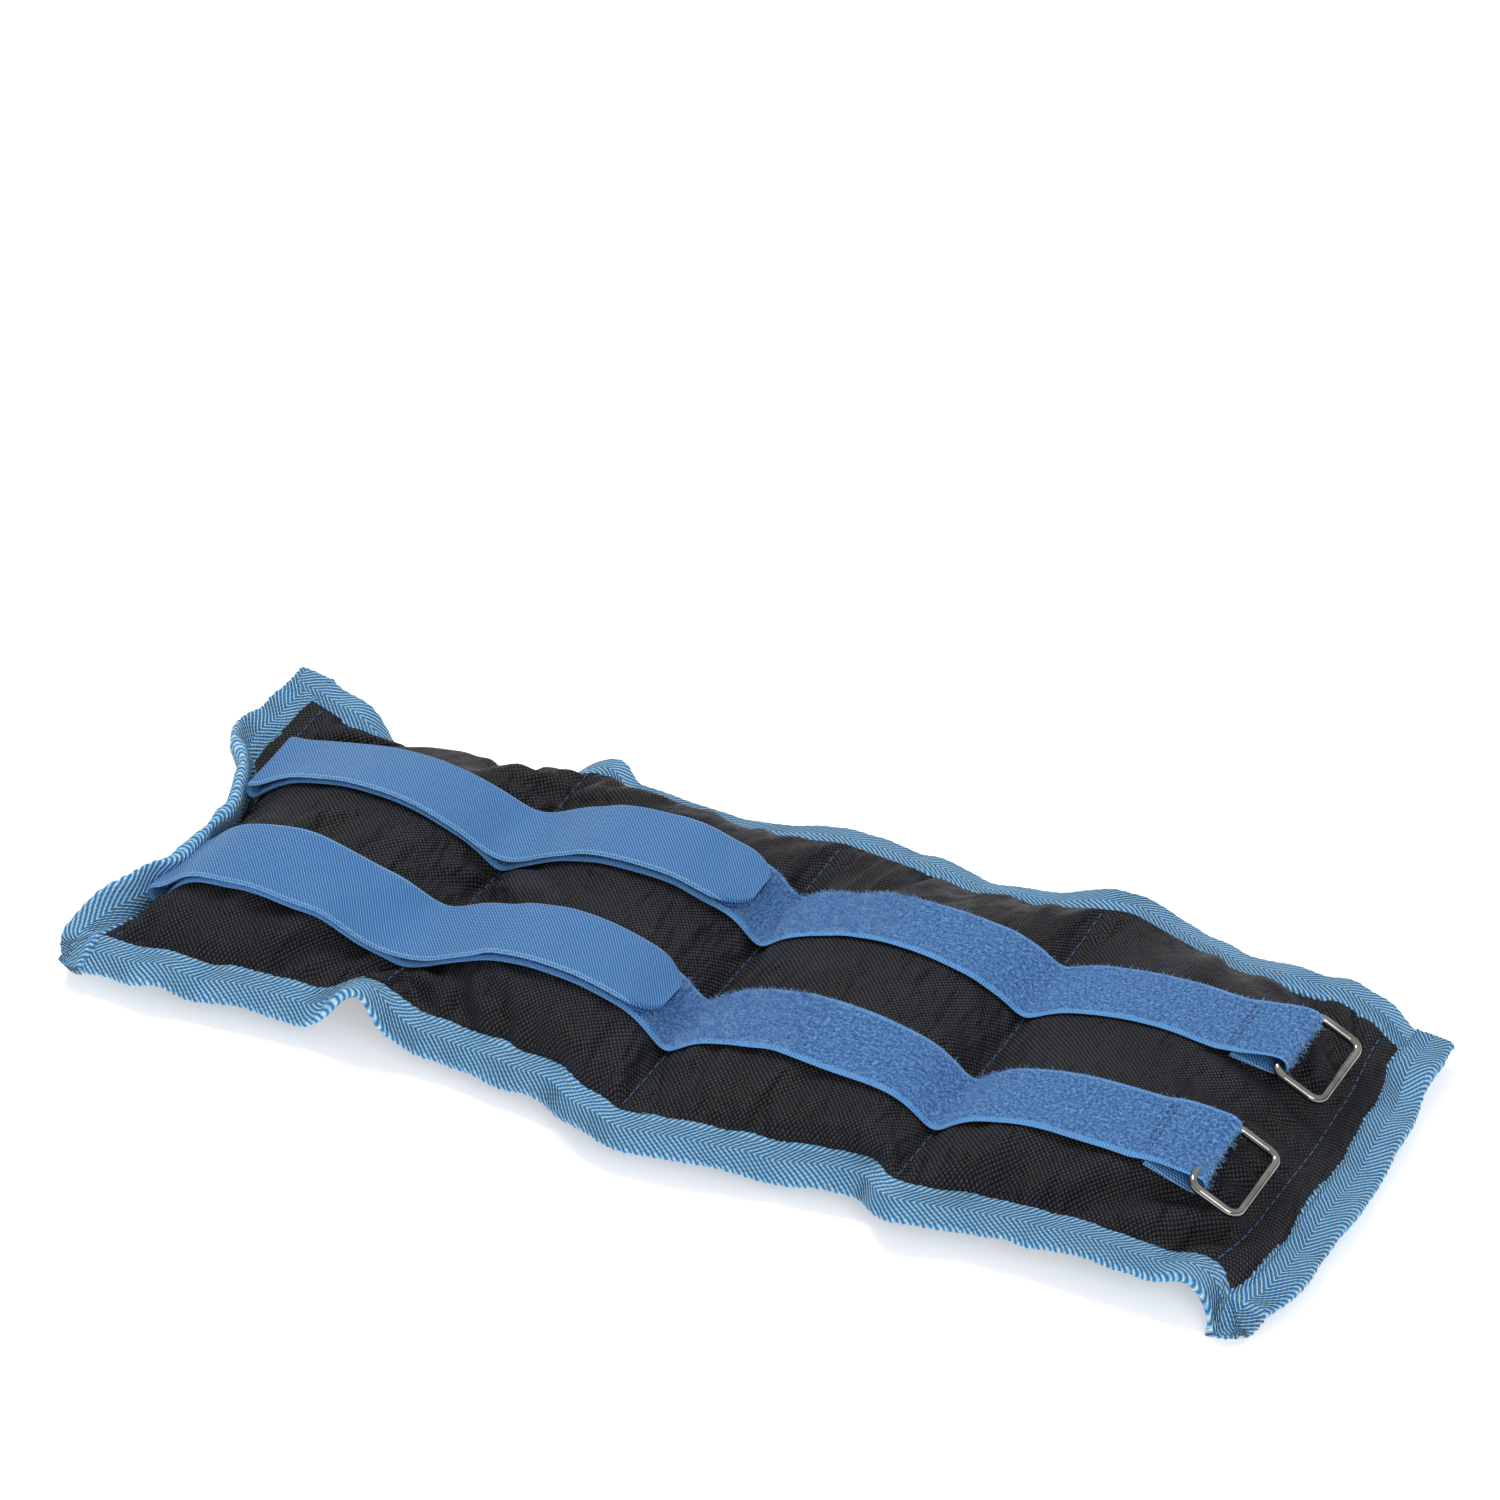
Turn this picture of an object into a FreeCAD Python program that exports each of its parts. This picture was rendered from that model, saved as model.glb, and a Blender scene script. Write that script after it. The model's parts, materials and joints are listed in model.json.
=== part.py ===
import FreeCAD, Part
import math
import os
import re
import Sketcher

# An ankle cuff weight lying open and flat: four quilted pockets in a row, each holding a sealed
# bag of iron sand, with a folded tape round the edge, two hook-and-loop straps across the top
# and two wire rings at the right-hand end. X runs along the cuff, Y across it, Z up. The origin
# is the middle of the cuff on the surface that it lies on. All lengths are millimetres.

SIZES = [
    # The quilted body.
    ("half_length", 178.0, "middle to the outer edge of an end tape"),
    ("half_width", 68.0, "middle to the outer edge of a side tape"),
    ("seam_height", 12.0, "seams above the floor"),
    ("left_end_seam", -162.0, "stitch line before the left end"),
    ("first_seam", -82.0, "seam between pockets 1 and 2"),
    ("second_seam", -3.0, "seam between pockets 2 and 3"),
    ("third_seam", 75.0, "seam between pockets 3 and 4"),
    ("right_end_seam", 160.0, "stitch line before the right end"),
    ("seam_gap", 0.8, "each cover's edge to the seam line"),
    ("pocket_inset", 1.0, "each pocket's bulge to its seam line"),
    ("crown", 13.0, "rise of a pocket above the seams"),
    ("belly", 12.4, "drop of a pocket below the seams"),
    ("pocket_half_width", 56.0, "middle to the long side of a pocket"),
    ("shoulder", 40.0, "half width of the level part of a pocket"),
    ("flange", 0.6, "one layer of cover cloth at a seam"),
    ("cover_wall", 0.8, "cover cloth over a pocket"),
    ("bag_slack", 0.2, "cover to sand bag"),
    ("bag_wall", 0.5, "sand bag film and seam"),
    ("sand_slack", 0.2, "sand bag to sand"),
    # The folded edge tape.
    ("tape_width", 11.5, "width of the tape on each face"),
    ("tape_fold", 1.6, "half the thickness of the folded tape"),
    ("tape_wall", 0.75, "thickness of one layer of tape"),
    ("tape_gap", 1.8, "each tape's end to its seam line"),
    # The straps.
    ("strap_width", 25.0, "hook-and-loop webbing"),
    ("strap_place", 27.0, "middle of the cuff to the middle of a strap"),
    ("strap_wall", 1.2, "thickness of the webbing"),
    ("strap_lift", 0.1, "cover to strap"),
    ("strap_inset", 2.2, "each strap's end to its seam line"),
    ("strap_stop", 131.0, "right-hand end of the strap on pocket 4"),
    # The tails, which fold back over pockets 1 and 2.
    ("tail_lift", 2.5, "cover to the underside of a tail"),
    ("tail_tip", -7.0, "free end of a tail"),
    ("tail_round", 9.0, "corner radius at a tail's free end"),
    ("fold_x", -163.0, "middle of the fold at the left end"),
    ("fold_rise", 5.2, "middle of the fold above the seams"),
    ("fold_inside", 2.2, "inner radius of the fold"),
    ("fold_foot", 1.5, "length of the foot under the fold"),
    ("hook_start", -56.0, "left-hand end of the hook patch"),
    ("hook_stop", -10.0, "right-hand end of the hook patch"),
    ("hook_lift", 1.5, "cover to the hook patch"),
    ("hook_wall", 0.9, "thickness of the hook patch"),
    ("hook_width", 23.0, "width of the hook patch"),
    # The wire rings and the strap loops that hold them.
    ("wire", 1.25, "radius of the ring's wire"),
    ("ring_span", 28.0, "between the middles of the ring's two sides"),
    ("ring_reach", 14.6, "between the middles of the ring's two bars"),
    ("ring_corner", 3.4, "radius of the ring's corners, at the wire's middle"),
    ("bar_x", 147.0, "ring bar along the cuff"),
    ("bar_height", 22.6, "ring bar above the floor"),
    ("ring_droop", 26.0, "degrees that the ring hangs below level"),
    ("loop_play", 0.3, "ring bar to the inside of its strap loop"),
    ("loop_leg", 15.0, "length of the strap loop's legs"),
    ("loop_width", 20.0, "width of the strap loop, gathered inside the ring"),
    ("loop_slope", 20.0, "degrees that the strap loop slopes down"),
    # The sewing thread.
    ("thread", 0.4, "radius of a row of stitches"),
    ("thread_lift", 0.05, "cloth to a row of stitches"),
    ("end_stitch", 3.5, "end of a pocket to the line of stitches beyond it"),
    ("loop_stitch", 11.0, "ring bar to the stitches across its loop"),
]

SEAMS = ["left_end_seam", "first_seam", "second_seam", "third_seam", "right_end_seam"]
POCKETS = [1, 2, 3, 4]
SIDES = {"front": -1, "rear": 1}

doc = FreeCAD.newDocument("ankle_cuff_weight")
sheet = doc.addObject("Spreadsheet::Sheet", "Sizes")
for row, (alias, size, note) in enumerate(SIZES, start=1):
    sheet.set(f"A{row}", note)
    sheet.set(f"B{row}", str(size))
    sheet.setAlias(f"B{row}", alias)
doc.recompute()

ALIASES = {alias for alias, _, _ in SIZES}
pieces = []


def linked(formula):
    """The formula with every name of a size turned into a link to its cell."""
    return re.sub(r"[a-z_]+", lambda word: "Sizes." + word[0] if word[0] in ALIASES else word[0], str(formula))


def number(formula):
    """What the formula comes to with the sheet's present sizes."""
    return float(sheet.evalExpression(linked(formula)))


def bind(thing, prop, formula):
    """Drive a property, or a constraint, from the sheet."""
    thing.setExpression(prop, linked(formula))


def place(thing, x=0, y=0, z=0):
    """Put an object at a place that follows the sheet."""
    thing.Placement = FreeCAD.Placement(
        FreeCAD.Vector(number(x), number(y), number(z)), thing.Placement.Rotation
    )
    for axis, formula in (("x", x), ("y", y), ("z", z)):
        if formula != 0:
            bind(thing, "Placement.Base." + axis, formula)


def tilt(thing, degrees):
    """Turn an object about Y, its +X side going down, by a size from the sheet."""
    turn = FreeCAD.Rotation(FreeCAD.Vector(0, 1, 0), number(degrees))
    thing.Placement = FreeCAD.Placement(thing.Placement.Base, turn)
    bind(thing, "Placement.Rotation.Angle", degrees)


def keep(thing, label):
    """Name a finished sub-part, which is then written to its own file."""
    thing.Label = label
    pieces.append(thing)
    return thing


# Sketching.


def new_body(name):
    return doc.addObject("PartDesign::Body", name)


def new_sketch(body, role):
    """A sketch on one of the body's own origin planes."""
    sketch = body.newObject("Sketcher::SketchObject", "Sketch")
    plane = next(f for f in body.Origin.OriginFeatures if f.Role == role)
    sketch.AttachmentSupport = (plane, [""])
    sketch.MapMode = "FlatFace"
    return sketch


def fix(sketch, kind, geometry, point, formula):
    """A distance from the sketch's origin, along its X or its Y."""
    index = sketch.addConstraint(Sketcher.Constraint(kind, geometry, point, number(formula)))
    bind(sketch, f"Constraints[{index}]", formula)


def fix_radius(sketch, geometry, formula):
    index = sketch.addConstraint(Sketcher.Constraint("Radius", geometry, number(formula)))
    bind(sketch, f"Constraints[{index}]", formula)


def join(sketch, first, first_end, second, second_end):
    sketch.addConstraint(Sketcher.Constraint("Coincident", first, first_end, second, second_end))


def polygon(sketch, corners):
    """A closed outline of straight sides through the corners, each one driven by the sheet."""
    spots = [FreeCAD.Vector(number(x), number(y), 0) for x, y in corners]
    count = len(corners)
    first = sketch.GeometryCount
    for i in range(count):
        sketch.addGeometry(Part.LineSegment(spots[i], spots[(i + 1) % count]), False)
    for i, (x, y) in enumerate(corners):
        join(sketch, first + i, 2, first + (i + 1) % count, 1)
        fix(sketch, "DistanceX", first + i, 1, x)
        fix(sketch, "DistanceY", first + i, 1, y)


def arc(sketch, centre, radius, start, end):
    """An arc from start to end, anticlockwise, about a centre; its radius follows the sheet."""
    middle = FreeCAD.Vector(number(centre[0]), number(centre[1]), 0)
    circle = Part.Circle(middle, FreeCAD.Vector(0, 0, 1), number(radius))
    angles = [math.atan2(p[1] - middle.y, p[0] - middle.x) for p in (start, end)]
    index = sketch.addGeometry(Part.ArcOfCircle(circle, angles[0], angles[1]), False)
    fix(sketch, "DistanceX", index, 3, centre[0])
    fix(sketch, "DistanceY", index, 3, centre[1])
    fix_radius(sketch, index, radius)
    return index


def line(sketch, start, end):
    return sketch.addGeometry(
        Part.LineSegment(FreeCAD.Vector(start[0], start[1], 0), FreeCAD.Vector(end[0], end[1], 0)), False
    )


def pad(body, sketch, length):
    """Give the sketch a thickness, half of it on each side of its plane."""
    feature = body.newObject("PartDesign::Pad", "Pad")
    feature.Profile = sketch
    feature.Midplane = True
    bind(feature, "Length", length)
    return feature


# The shape that every pocket shares.


def span(pocket):
    """The two seams on either side of a pocket."""
    return SEAMS[pocket - 1], SEAMS[pocket]


def middle_of(pocket):
    left, right = span(pocket)
    return f"({left} + {right}) / 2"


def bulge_radius(pocket, height):
    """Radius of the arc over a pocket, from its chord and how far it rises or drops."""
    left, right = span(pocket)
    half_chord = f"(({right} - {left}) / 2 - pocket_inset)"
    return f"(({half_chord}^2 + {height}^2) / (2 * {height}))"


def crown_centre(pocket):
    """Middle of the arc over the top of a pocket."""
    return middle_of(pocket), f"seam_height + crown - {bulge_radius(pocket, 'crown')}"


def lens(pocket, inset):
    """A pocket's section along the cuff, all the way across it, drawn in by the inset."""
    body = new_body("Lens")
    sketch = new_sketch(body, "XZ_Plane")
    top = crown_centre(pocket)
    bottom = (middle_of(pocket), f"seam_height - belly + {bulge_radius(pocket, 'belly')}")
    left, right = span(pocket)
    height = number("seam_height")
    low = (number(f"{left} + pocket_inset"), height)
    high = (number(f"{right} - pocket_inset"), height)
    upper = arc(sketch, top, f"{bulge_radius(pocket, 'crown')} - ({inset})", high, low)
    lower = arc(sketch, bottom, f"{bulge_radius(pocket, 'belly')} - ({inset})", low, high)
    join(sketch, upper, 2, lower, 1)
    join(sketch, upper, 1, lower, 2)
    pad(body, sketch, "2 * half_width")
    return body


def shoulder_radius(height):
    return f"(((pocket_half_width - shoulder)^2 + {height}^2) / (2 * {height}))"


def ridge(inset):
    """A pocket's section across the cuff, the whole length of it, drawn in by the inset."""
    body = new_body("Ridge")
    sketch = new_sketch(body, "YZ_Plane")
    height = number("seam_height")
    reach = number("pocket_half_width")
    level = number("shoulder")
    curves = []
    for side, rise, sign in ((1, "crown", 1), (-1, "crown", 1), (-1, "belly", -1), (1, "belly", -1)):
        centre = (f"{side} * shoulder", f"seam_height + {sign} * ({rise} - {shoulder_radius(rise)})")
        outside = (side * reach, height)
        summit = (side * level, height + sign * number(rise))
        start, end = (outside, summit) if side * sign > 0 else (summit, outside)
        curves.append(arc(sketch, centre, f"{shoulder_radius(rise)} - ({inset})", start, end))
    top = line(sketch, (level, height + number("crown")), (-level, height + number("crown")))
    base = line(sketch, (-level, height - number("belly")), (level, height - number("belly")))
    join(sketch, curves[0], 2, top, 1)
    join(sketch, top, 2, curves[1], 1)
    join(sketch, curves[1], 2, curves[2], 1)
    join(sketch, curves[2], 2, base, 1)
    join(sketch, base, 2, curves[3], 1)
    join(sketch, curves[3], 2, curves[0], 1)
    for straight, rise, sign in ((top, "crown", 1), (base, "belly", -1)):
        for end, side in ((1, sign), (2, -sign)):
            fix(sketch, "DistanceX", straight, end, f"{side} * shoulder")
    pad(body, sketch, "2 * half_length")
    return body


def common(name, first, second):
    thing = doc.addObject("Part::Common", name)
    thing.Base = first
    thing.Tool = second
    return thing


def cut(name, base, tool):
    thing = doc.addObject("Part::Cut", name)
    thing.Base = base
    thing.Tool = tool
    return thing


def fuse(name, first, second):
    thing = doc.addObject("Part::Fuse", name)
    thing.Base = first
    thing.Tool = second
    return thing


def box(name, x, y, z, length, width, height):
    thing = doc.addObject("Part::Box", name)
    bind(thing, "Length", length)
    bind(thing, "Width", width)
    bind(thing, "Height", height)
    place(thing, x, y, z)
    return thing


INSETS = {
    "outside": "0",
    "cavity": "cover_wall",
    "bag": "cover_wall + bag_slack",
    "bag_inside": "cover_wall + bag_slack + bag_wall",
    "sand": "cover_wall + bag_slack + bag_wall + sand_slack",
}


def make_pillows():
    """The nested pillow shapes of every pocket, from the cover's outside in to the sand."""
    ridges = {layer: ridge(inset) for layer, inset in INSETS.items()}
    pillows = {}
    for pocket in POCKETS:
        for layer, inset in INSETS.items():
            shape = common("Pillow", lens(pocket, inset), ridges[layer])
            pillows[pocket, layer] = shape
    return pillows


def cover_ends(pocket, gap):
    """Left and right edges of the cloth round a pocket, stopping short of the seams."""
    left, right = span(pocket)
    edge = "half_length - tape_wall - 0.1"
    start = f"-({edge})" if pocket == POCKETS[0] else f"{left} + {gap}"
    stop = edge if pocket == POCKETS[-1] else f"{right} - {gap}"
    return start, stop


def make_covers(pocket, pillows):
    """The front (upper) and back (lower) cloth of a pocket, each with its flat sewn edge."""
    start, stop = cover_ends(pocket, "seam_gap")
    length = f"{stop} - ({start})"
    half = "half_width - tape_wall - 0.1"
    faces = (("front", "seam_height", "flange", "seam_height", "2 * crown"),
             ("back", "seam_height - flange", "flange", "0", "seam_height"))
    for face, edge_low, edge_thick, low, tall in faces:
        edge = box("Edge", start, f"-({half})", edge_low, length, f"2 * ({half})", edge_thick)
        keep_side = box("Side", "-half_length", "-half_width", low, "2 * half_length", "2 * half_width", tall)
        dome = common("Dome", pillows[pocket, "outside"], keep_side)
        solid = fuse("Solid", edge, dome)
        keep(cut("Cover", solid, pillows[pocket, "cavity"]), f"{face}_cover_{pocket}")


def make_filling(pocket, pillows):
    """The sealed bag of a pocket and the iron sand in it."""
    keep(cut("Bag", pillows[pocket, "bag"], pillows[pocket, "bag_inside"]), f"weight_bag_{pocket}")
    keep(pillows[pocket, "sand"], f"sand_fill_{pocket}")


def folded_tape(body, role, length):
    """A tape folded over an edge: its section stands on the plane, its mouth towards minus X."""
    sketch = new_sketch(body, role)
    slot = "tape_fold - tape_wall"
    corners = [
        ("-tape_width", "tape_fold"), ("-tape_width", slot), ("-tape_wall", slot),
        ("-tape_wall", f"-({slot})"), ("-tape_width", f"-({slot})"), ("-tape_width", "-tape_fold"),
        ("0", "-tape_fold"), ("0", "tape_fold"),
    ]
    polygon(sketch, corners)
    pad(body, sketch, length)


def make_side_tapes(pocket):
    """The tape along both long edges of a pocket; it stops short of the seams, to let them bend."""
    left, right = span(pocket)
    start = "-half_length" if pocket == POCKETS[0] else f"{left} + tape_gap"
    stop = "half_length" if pocket == POCKETS[-1] else f"{right} - tape_gap"
    for face, sign in (("front", -1), ("back", 1)):
        body = new_body("Tape")
        folded_tape(body, "YZ_Plane", f"{stop} - ({start})")
        if sign < 0:
            body.Placement = FreeCAD.Placement(
                FreeCAD.Vector(), FreeCAD.Rotation(FreeCAD.Vector(0, 0, 1), 180)
            )
        place(body, f"({start} + {stop}) / 2", f"{sign} * half_width", "seam_height")
        keep(body, f"{face}_binding_{pocket}")


def make_end_tapes():
    """The tape across each end, between the two side tapes."""
    for label, sign in (("left", -1), ("right", 1)):
        body = new_body("Tape")
        folded_tape(body, "XZ_Plane", "2 * (half_width - tape_width - 0.2)")
        if sign < 0:
            body.Placement = FreeCAD.Placement(
                FreeCAD.Vector(), FreeCAD.Rotation(FreeCAD.Vector(0, 0, 1), 180)
            )
        place(body, f"{sign} * half_length", 0, "seam_height")
        keep(body, f"{label}_end_binding")


def crown_band(pocket, lift, wall, start, stop, width):
    """A strip that lies over the crown of a pocket, from start to stop along the cuff."""
    body = new_body("Band")
    sketch = new_sketch(body, "XZ_Plane")
    centre = crown_centre(pocket)
    middle = (number(centre[0]), number(centre[1]))
    ends = (number(start), number(stop))
    radii = (f"{bulge_radius(pocket, 'crown')} + {lift}", f"{bulge_radius(pocket, 'crown')} + {lift} + {wall}")
    curves = []
    corners = []
    for radius in radii:
        size = number(radius)
        spots = [(x, middle[1] + math.sqrt(size**2 - (x - middle[0]) ** 2)) for x in ends]
        curves.append(arc(sketch, centre, radius, spots[1], spots[0]))
        corners.append(spots)
        fix(sketch, "DistanceX", curves[-1], 1, stop)
        fix(sketch, "DistanceX", curves[-1], 2, start)
    left_end = line(sketch, corners[0][0], corners[1][0])
    right_end = line(sketch, corners[0][1], corners[1][1])
    for end, point in ((left_end, 2), (right_end, 1)):
        join(sketch, end, 1, curves[0], point)
        join(sketch, end, 2, curves[1], point)
    pad(body, sketch, width)
    return body


def make_straps():
    """The loop webbing sewn down over each pocket's crown."""
    for side, sign in SIDES.items():
        for pocket in POCKETS:
            left, right = span(pocket)
            stop = "strap_stop" if pocket == POCKETS[-1] else f"{right} - strap_inset"
            band = crown_band(pocket, "strap_lift", "strap_wall", f"{left} + strap_inset", stop, "strap_width")
            place(band, y=f"{sign} * strap_place")
            keep(band, f"loop_strap_{side}_{pocket}")


def fold_profile(sketch):
    """The first half of a tail: over pocket 1, straight down to the left, round the fold to its foot."""
    crown = crown_centre(1)
    centre = (number(crown[0]), number(crown[1]))
    fold = ("fold_x", "seam_height + fold_rise")
    knuckle = (number(fold[0]), number(fold[1]))
    reach = math.hypot(knuckle[0] - centre[0], knuckle[1] - centre[1])
    bearing = math.atan2(knuckle[1] - centre[1], knuckle[0] - centre[0])
    right_x = number("first_seam - seam_gap")
    foot_x = number("fold_x + fold_foot")
    ends = []
    for extra in ("0", "strap_wall"):
        big = number(f"{bulge_radius(1, 'crown')} + tail_lift + {extra}")
        small = number(f"fold_inside + {extra}")
        normal = bearing - math.acos((big - small) / reach)
        leave = (centre[0] + big * math.cos(normal), centre[1] + big * math.sin(normal))
        meet = (knuckle[0] + small * math.cos(normal), knuckle[1] + small * math.sin(normal))
        right = (right_x, centre[1] + math.sqrt(big**2 - (right_x - centre[0]) ** 2))
        under = (knuckle[0], knuckle[1] - small)
        over = arc(sketch, crown, f"{bulge_radius(1, 'crown')} + tail_lift + {extra}", right, leave)
        slope = line(sketch, leave, meet)
        turn = arc(sketch, fold, f"fold_inside + {extra}", meet, under)
        foot = line(sketch, under, (foot_x, under[1]))
        sketch.addConstraint(Sketcher.Constraint("Tangent", over, 2, slope, 1))
        sketch.addConstraint(Sketcher.Constraint("Tangent", slope, 2, turn, 1))
        sketch.addConstraint(Sketcher.Constraint("Tangent", turn, 2, foot, 1))
        sketch.addConstraint(Sketcher.Constraint("Horizontal", foot))
        fix(sketch, "DistanceX", over, 1, "first_seam - seam_gap")
        fix(sketch, "DistanceX", foot, 2, "fold_x + fold_foot")
        ends.append((over, right, foot, (foot_x, under[1])))
    near, far = ends
    right_cap = line(sketch, near[1], far[1])
    foot_cap = line(sketch, near[3], far[3])
    join(sketch, right_cap, 1, near[0], 1)
    join(sketch, right_cap, 2, far[0], 1)
    join(sketch, foot_cap, 1, near[2], 2)
    join(sketch, foot_cap, 2, far[2], 2)


def round_ended_plan():
    """A tail's outline from above, as a tall solid: straight sides and a free end with round corners."""
    body = new_body("Plan")
    sketch = new_sketch(body, "XY_Plane")
    half = number("strap_width / 2")
    tip = number("tail_tip")
    turn = number("tail_round")
    start = number("first_seam")
    lower = line(sketch, (start, -half), (tip - turn, -half))
    end = line(sketch, (tip, turn - half), (tip, half - turn))
    upper = line(sketch, (tip - turn, half), (start, half))
    back = line(sketch, (start, half), (start, -half))
    middle_x = "tail_tip - tail_round"
    right = arc(sketch, (middle_x, "tail_round - strap_width / 2"), "tail_round",
                (tip - turn, -half), (tip, turn - half))
    left = arc(sketch, (middle_x, "strap_width / 2 - tail_round"), "tail_round",
               (tip, half - turn), (tip - turn, half))
    sketch.addConstraint(Sketcher.Constraint("Tangent", lower, 2, right, 1))
    sketch.addConstraint(Sketcher.Constraint("Tangent", right, 2, end, 1))
    sketch.addConstraint(Sketcher.Constraint("Tangent", end, 2, left, 1))
    sketch.addConstraint(Sketcher.Constraint("Tangent", left, 2, upper, 1))
    join(sketch, upper, 2, back, 1)
    join(sketch, back, 2, lower, 1)
    fix(sketch, "DistanceX", back, 1, "first_seam")
    fix(sketch, "DistanceX", back, 2, "first_seam")
    pad(body, sketch, "half_width")
    return body


def make_tails():
    """The free half of each strap, folded back over pockets 1 and 2, with its hook patch."""
    for side, sign in SIDES.items():
        root = new_body("Tail")
        sketch = new_sketch(root, "XZ_Plane")
        fold_profile(sketch)
        pad(root, sketch, "strap_width")
        band = crown_band(2, "tail_lift", "strap_wall", "first_seam + seam_gap", "tail_tip", "strap_width")
        end = common("Tail", band, round_ended_plan())
        hook = crown_band(2, "hook_lift", "hook_wall", "hook_start", "hook_stop", "hook_width")
        for piece, label in ((root, "tail_root"), (end, "tail_end"), (hook, "hook_patch")):
            place(piece, y=f"{sign} * strap_place")
            keep(piece, f"{label}_{side}")


def ring_path(body):
    """The wire's middle line: a rectangle with round corners, one bar through the origin."""
    sketch = new_sketch(body, "XY_Plane")
    half = number("ring_span / 2")
    reach = number("ring_reach")
    turn = number("ring_corner")
    spots = [(0, half - turn), (0, turn - half), (turn, -half), (reach - turn, -half),
             (reach, turn - half), (reach, half - turn), (reach - turn, half), (turn, half)]
    sides = [line(sketch, spots[i], spots[i + 1]) for i in (0, 2, 4, 6)]
    corner_x = {"near": "ring_corner", "far": "ring_reach - ring_corner"}
    corners = [("near", -1, 1, 2), ("far", -1, 3, 4), ("far", 1, 5, 6), ("near", 1, 7, 0)]
    for i, (end, sign, start, stop) in enumerate(corners):
        centre = (corner_x[end], f"{sign} * (ring_span / 2 - ring_corner)")
        bend = arc(sketch, centre, "ring_corner", spots[start], spots[stop])
        sketch.addConstraint(Sketcher.Constraint("Tangent", sides[i], 2, bend, 1))
        sketch.addConstraint(Sketcher.Constraint("Tangent", bend, 2, sides[(i + 1) % 4], 1))
    return sketch


def make_rings():
    """The wire rings, hanging from their bars on the falling side of pocket 4."""
    for side, sign in SIDES.items():
        body = new_body("Ring")
        path = ring_path(body)
        section = new_sketch(body, "XZ_Plane")
        section.addGeometry(
            Part.Circle(FreeCAD.Vector(), FreeCAD.Vector(0, 0, 1), number("wire")), False
        )
        section.addConstraint(Sketcher.Constraint("Coincident", 0, 3, -1, 1))
        fix_radius(section, 0, "wire")
        pipe = body.newObject("PartDesign::AdditivePipe", "Wire")
        pipe.Profile = section
        pipe.Spine = path
        tilt(body, "ring_droop")
        place(body, "bar_x", f"{sign} * strap_place", "bar_height")
        keep(body, f"ring_{side}")


def make_ring_loops():
    """The end of each strap, folded round a ring's bar, and the stitches that close it."""
    outside = "(wire + loop_play + strap_wall)"
    inside = "(wire + loop_play)"
    for side, sign in SIDES.items():
        body = new_body("Loop")
        sketch = new_sketch(body, "XZ_Plane")
        legs = []
        for radius in (inside, outside):
            size = number(radius)
            bend = arc(sketch, ("0", "0"), radius, (0, -size), (0, size))
            lower = line(sketch, (0, -size), (-number("loop_leg"), -size))
            upper = line(sketch, (0, size), (-number("loop_leg"), size))
            sketch.addConstraint(Sketcher.Constraint("Tangent", bend, 1, lower, 1))
            sketch.addConstraint(Sketcher.Constraint("Tangent", bend, 2, upper, 1))
            sketch.addConstraint(Sketcher.Constraint("Horizontal", lower))
            sketch.addConstraint(Sketcher.Constraint("Horizontal", upper))
            fix(sketch, "DistanceX", lower, 2, "-loop_leg")
            fix(sketch, "DistanceX", upper, 2, "-loop_leg")
            legs.append((lower, upper, size))
        for leg, height_sign in ((0, -1), (1, 1)):
            heights = [height_sign * entry[2] for entry in legs]
            cap = line(sketch, (-number("loop_leg"), heights[0]), (-number("loop_leg"), heights[1]))
            join(sketch, cap, 1, legs[0][leg], 2)
            join(sketch, cap, 2, legs[1][leg], 2)
        pad(body, sketch, "loop_width")
        stitch = new_body("Stitch")
        row = new_sketch(stitch, "XZ_Plane")
        centre = ("-loop_stitch", f"{outside} + thread_lift + thread")
        row.addGeometry(
            Part.Circle(FreeCAD.Vector(number(centre[0]), number(centre[1]), 0), FreeCAD.Vector(0, 0, 1),
                        number("thread")), False
        )
        fix(row, "DistanceX", 0, 3, centre[0])
        fix(row, "DistanceY", 0, 3, centre[1])
        fix_radius(row, 0, "thread")
        pad(stitch, row, "loop_width - 2")
        for piece, label in ((body, "ring_loop"), (stitch, "ring_loop_stitch")):
            tilt(piece, "loop_slope")
            place(piece, "bar_x", f"{sign} * strap_place", "bar_height")
            keep(piece, f"{label}_{side}")


def make_stitches():
    """The sewing thread of the three quilting seams and of the two end lines."""
    length = "2 * (half_width - tape_width - 1)"
    on_cloth = "seam_height + flange + thread_lift + thread"
    rows = [("seam_stitch_1", "first_seam", "seam_height"),
            ("seam_stitch_2", "second_seam", "seam_height"),
            ("seam_stitch_3", "third_seam", "seam_height"),
            ("end_stitch_left", "left_end_seam - end_stitch", on_cloth),
            ("end_stitch_right", "right_end_seam + end_stitch", on_cloth)]
    for label, x, z in rows:
        thread = doc.addObject("Part::Cylinder", "Thread")
        bind(thread, "Radius", "thread")
        bind(thread, "Height", length)
        thread.Placement = FreeCAD.Placement(
            FreeCAD.Vector(), FreeCAD.Rotation(FreeCAD.Vector(1, 0, 0), 90)
        )
        place(thread, x, "half_width - tape_width - 1", z)
        keep(thread, label)


def check():
    """Stop if any object failed or any sub-part isn't one or more sound solids."""
    faults = [thing.Name for thing in doc.Objects if {"Invalid", "Error"} & set(thing.State)]
    for piece in pieces:
        shape = piece.Shape
        if shape.isNull() or not shape.isValid() or not shape.Solids or shape.Volume <= 0:
            faults.append(piece.Label)
    if faults:
        raise RuntimeError("these did not build: " + ", ".join(faults))


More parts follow.
